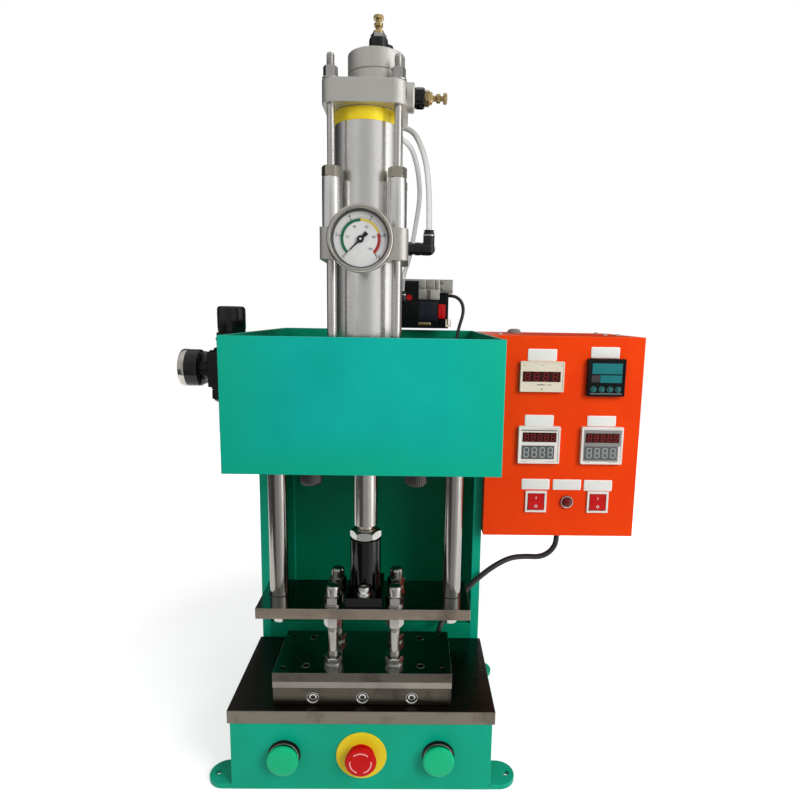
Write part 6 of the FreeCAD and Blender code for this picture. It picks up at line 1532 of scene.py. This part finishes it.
for turn in (-40, 80, 200):
    arc_band(arrows, radius * 0.635, radius * 0.71, turn, turn + ARROW_TURN, ARROW_LIFT, 1)
    tip = bmesh.new()
    way = math.radians(turn + ARROW_TURN + 2)
    bmesh.ops.create_circle(tip, cap_ends=True, segments=3, radius=1.1)
    pushed = bmesh.ops.extrude_face_region(tip, geom=tip.faces[:])
    bmesh.ops.translate(tip, vec=(0, 0, ARROW_LIFT),
                        verts=[step for step in pushed["geom"] if isinstance(step, bmesh.types.BMVert)])
    bmesh.ops.rotate(tip, matrix=Matrix.Rotation(-way - math.pi / 2, 3, "Z"), verts=tip.verts)
    bmesh.ops.translate(tip, vec=(math.sin(way) * radius * 0.67, math.cos(way) * radius * 0.67, 0),
                        verts=tip.verts)
    add_shape(arrows, tip, 1)
arrows.transform(face_frame(foot + FORWARD * (length - ARROW_SUNK) * MM))
join(bm, arrows)
mesh_piece("estop_head_finished", bm, [stop_red, moulded_pink], 40.0, "estop_head", "estop_head")


def button_collars():
    """Black rubber ring round the foot of each run button's collar and a thin bright bezel in front of it."""
    bm = bmesh.new()
    for x in (-88.5, 88.5):
        foot = at(x, FRONT_Y, BUTTON_Z)
        lathe(bm, foot, FORWARD, [(17, 0), (18.6, 0), (18.6, 0.8), (17.9, 1.2), (17, 1.2)], 64, True)
        lathe(bm, foot, FORWARD, [(14, 3.9), (17.0, 3.9), (16.7, 4.25), (14, 4.25)], 64, True, 1)
    return bm


mesh_piece("button_collars", button_collars(), [dark_plastic, gauge_steel])


# Ram, coupling and moving plate. Hard-chromed rod with a jam nut on its neck, gloss black coupling screwed
# to the plate, the plate ground on its edges and polished on top.
mirror_steel = bare_steel("mirror_steel", (0.33, 0.34, 0.32), (0.10, 0.10, 0.09), 0.13, 0.02,
                          (30.0, 900.0, 900.0), 0.5, (0.55, 0.53, 0.50), 0.0006)
brushed_edge = bare_steel("brushed_edge", (0.29, 0.24, 0.19), (0.10, 0.08, 0.062), 0.28, 0.22,
                          (24.0, 900.0, 900.0), 0.8, (0.62, 0.58, 0.52), 0.0007)
gloss_black = bare_steel("gloss_black_lacquer", (0.035, 0.035, 0.035), (0.045, 0.045, 0.045), 0.07, 0.02,
                         500.0, 0.3, (0.06, 0.06, 0.06), 0.0004)
rod_chrome = bare_steel("rod_chrome", (0.50, 0.48, 0.45), (0.34, 0.32, 0.28), 0.16, 0.04,
                        (900.0, 900.0, 14.0), 0.4)
rounded_copy("ram_rod", 0.4 * MM, [rod_chrome], "ram")
rounded_copy("ram_coupling", 0.7 * MM, [gloss_black], "ram")
ground_plate("moving_plate", 0.5 * MM, mirror_steel, brushed_edge, "ram")
plate_low, plate_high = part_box("moving_plate")


def ram_hardware():
    """Jam nut and neck collar, the coupling's screws with washers, and the nuts under the posts."""
    bm = bmesh.new()
    neck = Vector((0, PRESS_Y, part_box("ram_coupling")[1].z))
    nut(bm, neck, UP, 32 * MM, 10.5 * MM, 7.6 * MM, 0)
    lathe(bm, neck + UP * 10.4 * MM, UP, [(7.6, 0), (11.4, 0), (11.4, 1.2), (9.6, 2.0), (8.6, 5.0),
                                          (7.6, 5.2)], 48, True, 1)
    for y in (-26, 26):
        seat = Vector((0, PRESS_Y + y * MM, plate_high.z + 11.4 * MM))
        lathe(bm, seat, UP, [(4, 0), (8, 0), (8, 1.7), (7.7, 2.0), (4, 2.0)], 40, True)
        lathe(bm, seat + UP * 1.8 * MM, UP, [(4, 0), (6.9, 0), (6.9, 1.5), (6.4, 1.9), (4, 1.9)], 40, True)
        socket_head(bm, seat + UP * 3.4 * MM, UP, 6.4 * MM, 7.1 * MM, 6 * MM, 0, 32)
    for x in (-103 * MM, 103 * MM):
        seat = Vector((x, PRESS_Y, plate_low.z))
        lathe(bm, seat, -UP, [(4, 0), (9.0, 0), (9.0, 1.4), (4, 1.4)], 36, True)
        nut(bm, seat - UP * 1.4 * MM, -UP, 14 * MM, 19.6 * MM, 3.9 * MM, 0, 0.03)
        thread(bm, seat - UP * 19 * MM, -UP, 4 * MM, 1.25 * MM, 3.6 * MM)
        lathe(bm, Vector((x, PRESS_Y, plate_high.z)), UP, [(10.8, 0), (12.3, 0), (12.1, 0.25), (10.8, 0.3)],
              56, True, 2)
    return bm


mesh_piece("ram_hardware", ram_hardware(), [bright_zinc, yellow_nickel, black_oxide], body="ram",
           node="plate_screws")


# Studs. Zinc-plated studs carry the die from the plate: a nut and washer on the die, a nut under the plate,
# a washer, a nut and a domed nut above it.
def stud(bm, x, y):
    """One stud with all its nuts and washers."""
    here = Vector((x, y, 0))
    die_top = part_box("die_top_plate")[1].z
    lathe(bm, here + UP * 129.3 * MM, UP, [(5.6, 0), (5.6, 95)], 28, mark=1)
    lathe(bm, here + UP * 156.5 * MM, UP, [(5.6, 0), (6.0, 0.5), (6.0, 24.5), (5.6, 25)], 36, mark=1)
    for start, length in ((149.5, 7.0), (181.0, 7.0)):
        thread(bm, here + UP * start * MM, UP, 6.0 * MM, 1.5 * MM, length * MM, 1)
    lathe(bm, here + UP * die_top, UP, [(6, 0), (10.5, 0), (10.5, 1.0), (9.8, 1.4), (6, 1.4)], 44, True)
    lathe(bm, here + UP * (die_top + 1.3 * MM), UP, [(6, 0), (9.6, 0), (9.6, 0.7), (6, 0.7)], 44, True)
    nut(bm, here + UP * (die_top + 2 * MM), UP, 18.5 * MM, 8 * MM, 5.8 * MM, 0)
    nut(bm, here + UP * plate_low.z, -UP, 18.5 * MM, 13.5 * MM, 5.8 * MM, 0, 0.05)
    lathe(bm, here + UP * plate_high.z, UP, [(6, 0), (10.5, 0), (10.5, 1.7), (10.2, 2.0), (6, 2.0)], 44, True)
    nut(bm, here + UP * (plate_high.z + 2 * MM), UP, 18.5 * MM, 9.4 * MM, 5.8 * MM, 0)
    knurl = ribbed(8.0, 0.22, 34)
    lathe(bm, here + UP * (plate_high.z + 11.2 * MM), UP, [
        (7.4, -1), (7.4, 0), (knurl, 0.5), (knurl, 8.6), (7.8, 9.3), (7.2, 11.0), (5.8, 12.1), (3.4, 12.7),
        (1.2, 12.8)], 102)


studs_bm = bmesh.new()
for x in (-36 * MM, 36 * MM):
    for y in (PRESS_Y - 25 * MM, PRESS_Y + 25 * MM):
        stud(studs_bm, x, y)
stud_zinc = bare_steel("stud_zinc", (0.47, 0.455, 0.425), (0.30, 0.28, 0.24), 0.17, 0.03, 900.0, 0.6,
                       (0.78, 0.77, 0.74), 0.0004)
mesh_piece("die_studs_finished", studs_bm, [stud_zinc, post_steel], body="ram", node="die_studs")


# Die stack. Polished top plate with tapped holes, layered grey insulation board, heater block with three
# sunk clamp screws, cartridge heaters inside and a brass boss for the cable at the back.
insulation_grey = plain_plastic("insulation_board", (0.30, 0.275, 0.24), (0.22, 0.20, 0.18), 0.55, 420.0,
                                0.25)
block_edge = bare_steel("block_edge", (0.088, 0.077, 0.062), (0.040, 0.033, 0.025), 0.30, 0.25,
                        (18.0, 900.0, 900.0), 0.9, (0.36, 0.33, 0.29), 0.0006)
ground_plate("die_top_plate", 0.4 * MM, mirror_steel, block_edge, "ram")
rounded_copy("insulation_plate", 0.3 * MM, [insulation_grey], "ram")
rounded_copy("heater_block", 0.4 * MM, [block_edge], "ram")


def die_hardware():
    """Clamp screws in their recesses, rims of the tapped holes, the cable's boss and the heaters' ends."""
    bm = bmesh.new()
    block_low, block_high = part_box("heater_block")
    for x in (-57 * MM, 0, 57 * MM):
        face = Vector((x, block_low.y, block_low.z + 8.5 * MM))
        lathe(bm, face - FORWARD * 1.5 * MM, FORWARD, [
            (5.6, 0), (7.0, 0), (7.0, 1.6), (6.6, 1.7), (5.6, 0.9)], 40, True)
        socket_head(bm, face - FORWARD * 6 * MM, FORWARD, 5.0 * MM, 5.2 * MM, 5 * MM, 0, 24)
        lathe(bm, face - FORWARD * 18 * MM, FORWARD, [(4, 0), (4, 13)], 20, mark=1)
        lathe(bm, face - FORWARD * 3.2 * MM, FORWARD, [(0.5, 0), (2.7, 0), (2.7, 1.4), (0.5, 1.4)], 6, mark=1)
    top_low, top_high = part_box("die_top_plate")
    for x in (-67 * MM, 67 * MM):
        for y in (-31 * MM, 31 * MM):
            hole = Vector(((top_low.x + top_high.x) / 2 + x, (top_low.y + top_high.y) / 2 + y, top_high.z))
            lathe(bm, hole, UP, [(3.3, -2), (3.9, -2), (4.9, 0.05), (4.3, 0.12), (3.4, -0.6)], 32, True)
    back = Vector((92 * MM, top_high.y, 125.25 * MM))
    nut(bm, back, BACK, 16 * MM, 8 * MM, 3.5 * MM, 2)
    lathe(bm, back + Vector((0, 7.5 * MM, 0)), BACK, [(3.7, 0), (6.6, 0), (6.6, 3.4), (5.8, 4.4), (3.7, 4.5)],
          36, True, 2)
    for setback in (34, 70):
        foot = Vector((block_high.x, block_low.y + setback * MM, (block_low.z + block_high.z) / 2))
        lathe(bm, foot - Vector((180 * MM, 0, 0)), RIGHT, [(4.9, 0), (4.9, 179.8)], 28, mark=1)
    return bm


mesh_piece("die_hardware", die_hardware(), [bright_zinc, black_oxide, yellow_nickel], body="ram",
           node="cartridge_heaters")


# Studio. A pale paper table on a white surround. Metal sees soft panels: a bright one at the right, a narrow
# one at the left, dim ones in front, and the white paper behind.
FLOOR_GLOW = 0.56


def seen_directly(tree, path):
    """One for the rays of the camera, of metal and of glass."""
    straight = calc(tree, "MAXIMUM", path["Is Camera Ray"], path["Is Transmission Ray"])
    return calc(tree, "MAXIMUM", straight, path["Is Glossy Ray"])


def floor_material():
    """Pale paper: white where the lamps reach it, and it keeps the object's shadow."""
    made, tree, shader = new_material("studio_floor")
    tint = between(tree, grain(tree, 40.0)[1], (0.70, 0.70, 0.70), (0.73, 0.73, 0.73))
    feed(tree, shader, {"Base Color": tint, "Roughness": 0.95, "Specular IOR Level": 0.0})
    paper = tree.nodes["Principled BSDF"].outputs["BSDF"]
    place = add(tree, "TexCoord").outputs["Object"]
    away = add(tree, "VectorMath", {0: place}, operation="LENGTH").outputs["Value"]
    strength = remap(tree, away, 0.45, 1.0, FLOOR_GLOW, 1.0)
    glow = add(tree, "Emission", {"Color": (1, 1, 1), "Strength": strength})
    both = add(tree, "AddShader", {0: paper, 1: glow.outputs["Emission"]})
    seen = seen_directly(tree, add(tree, "LightPath").outputs)
    mixed = add(tree, "MixShader", {"Fac": seen, 1: paper, 2: both.outputs["Shader"]})
    feed(tree, tree.nodes["Material Output"].inputs, {"Surface": mixed.outputs["Shader"]})
    return made


FLOOR_CENTRE = Vector((0.35, 0.75, 0.0))
FLOOR_SIZE = Vector((2.4, 2.4, 1.0))
floor_bm = bmesh.new()
bmesh.ops.create_grid(floor_bm, x_segments=6, y_segments=6, size=0.5,
                      matrix=Matrix.Translation(FLOOR_CENTRE) @ Matrix.Diagonal((*FLOOR_SIZE, 1.0)))
studio_floor = mesh_piece("studio_floor", floor_bm, [floor_material()], body=None)
studio_floor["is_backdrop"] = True


# Brightness of the surround by its bearing from the front, in degrees, to the right positive: at eye level
# and above it, and below it.
SURROUND_HIGH = ((-180, 1.0), (-176, 1.0), (-170, 0.04), (-122, 0.03), (-104, 0.12), (-84, 0.50), (-66, 0.60),
                 (-48, 0.52), (-32, 0.64), (-18, 0.48), (0, 0.46), (16, 0.50), (36, 0.80), (52, 0.78),
                 (64, 1.20), (94, 1.25), (106, 0.85), (120, 0.10), (170, 0.04), (176, 1.0), (180, 1.0))
SURROUND_LOW = ((-180, 1.0), (-176, 1.0), (-170, 0.04), (-120, 0.03), (-96, 0.20), (-70, 0.08),
                (-30, 0.08), (-12, 0.44), (0, 0.47), (12, 0.44), (20, 0.50), (36, 0.80), (52, 0.95),
                (64, 1.20), (94, 1.25), (106, 0.85), (120, 0.10), (170, 0.04), (176, 1.0), (180, 1.0))
PANEL_STRENGTH = 1.25
STRIP_BEARING = math.radians(68.0)
STRIP_HALF = math.radians(2.5)
STRIP_STRENGTH = 3.5


def ring_of_panels(tree, along, stops):
    """The colours of the soft panels round the object, from a bearing that runs from 0 to 1."""
    ramp = add(tree, "ValToRGB", {"Fac": along})
    marks = ramp.color_ramp.elements
    for number, (angle, value) in enumerate(stops):
        stop = marks[number] if number < 2 else marks.new(1.0)
        stop.position = (angle + 180) / 360
        level = value / PANEL_STRENGTH
        stop.color = (level, level, level, 1.0)
    return ramp.outputs["Color"]


SURROUND_LIGHT = 0.46


def studio_world():
    """White surround: plain light for the object, full white for the camera, soft panels for metal."""
    made = bpy.data.worlds.new("studio")
    made.use_nodes = True
    tree = made.node_tree
    tree.nodes.clear()
    light = add(tree, "Background", {"Color": (1, 1, 1), "Strength": SURROUND_LIGHT})
    seen = add(tree, "Background", {"Color": (1, 1, 1), "Strength": 1.0})
    way = add(tree, "SeparateXYZ", {"Vector": add(tree, "TexCoord").outputs["Generated"]}).outputs
    bearing = calc(tree, "ARCTAN2", way["X"], calc(tree, "MULTIPLY", way["Y"], -1.0))
    along = remap(tree, bearing, -math.pi, math.pi, 0.0, 1.0)
    upward = remap(tree, way["Z"], -0.16, -0.04, 0.0, 1.0)
    around = between(tree, upward, ring_of_panels(tree, along, SURROUND_LOW),
                     ring_of_panels(tree, along, SURROUND_HIGH))
    overhead = remap(tree, way["Z"], 0.55, 0.85, 0.0, 1.0)
    panels = between(tree, overhead, around, (0.60, 0.60, 0.60))
    beside = calc(tree, "ABSOLUTE", calc(tree, "SUBTRACT", bearing, STRIP_BEARING))
    strip = remap(tree, beside, STRIP_HALF * 1.5, STRIP_HALF, PANEL_STRENGTH, PANEL_STRENGTH + STRIP_STRENGTH)
    shiny = add(tree, "Background", {"Color": panels, "Strength": strip})
    path = add(tree, "LightPath").outputs
    direct = calc(tree, "MAXIMUM", path["Is Camera Ray"], path["Is Transmission Ray"])
    metal = add(tree, "MixShader", {"Fac": path["Is Glossy Ray"], 1: light.outputs["Background"],
                                    2: shiny.outputs["Background"]})
    mixed = add(tree, "MixShader", {"Fac": direct, 1: metal.outputs["Shader"], 2: seen.outputs["Background"]})
    add(tree, "OutputWorld", {"Surface": mixed.outputs["Shader"]})
    bpy.context.scene.world = made


studio_world()


def lamp(name, place, aim, width, height, power):
    """A soft box facing a point."""
    data = bpy.data.lights.new(name, "AREA")
    data.shape = "RECTANGLE"
    data.size = width
    data.size_y = height
    data.energy = power
    made = new_object(name, data)
    made.visible_glossy = False
    away = Vector(place) - Vector(aim)
    made.matrix_world = Matrix.Translation(Vector(place)) @ away.to_track_quat("Z", "Y").to_matrix().to_4x4()


lamp("key_lamp", (1.25, -1.35, 1.25), (0, 0, 0.4), 1.0, 1.2, 32.0)
lamp("fill_lamp", (-1.6, -1.2, 1.2), (0, 0, 0.4), 1.0, 1.0, 5.0)

low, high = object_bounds()
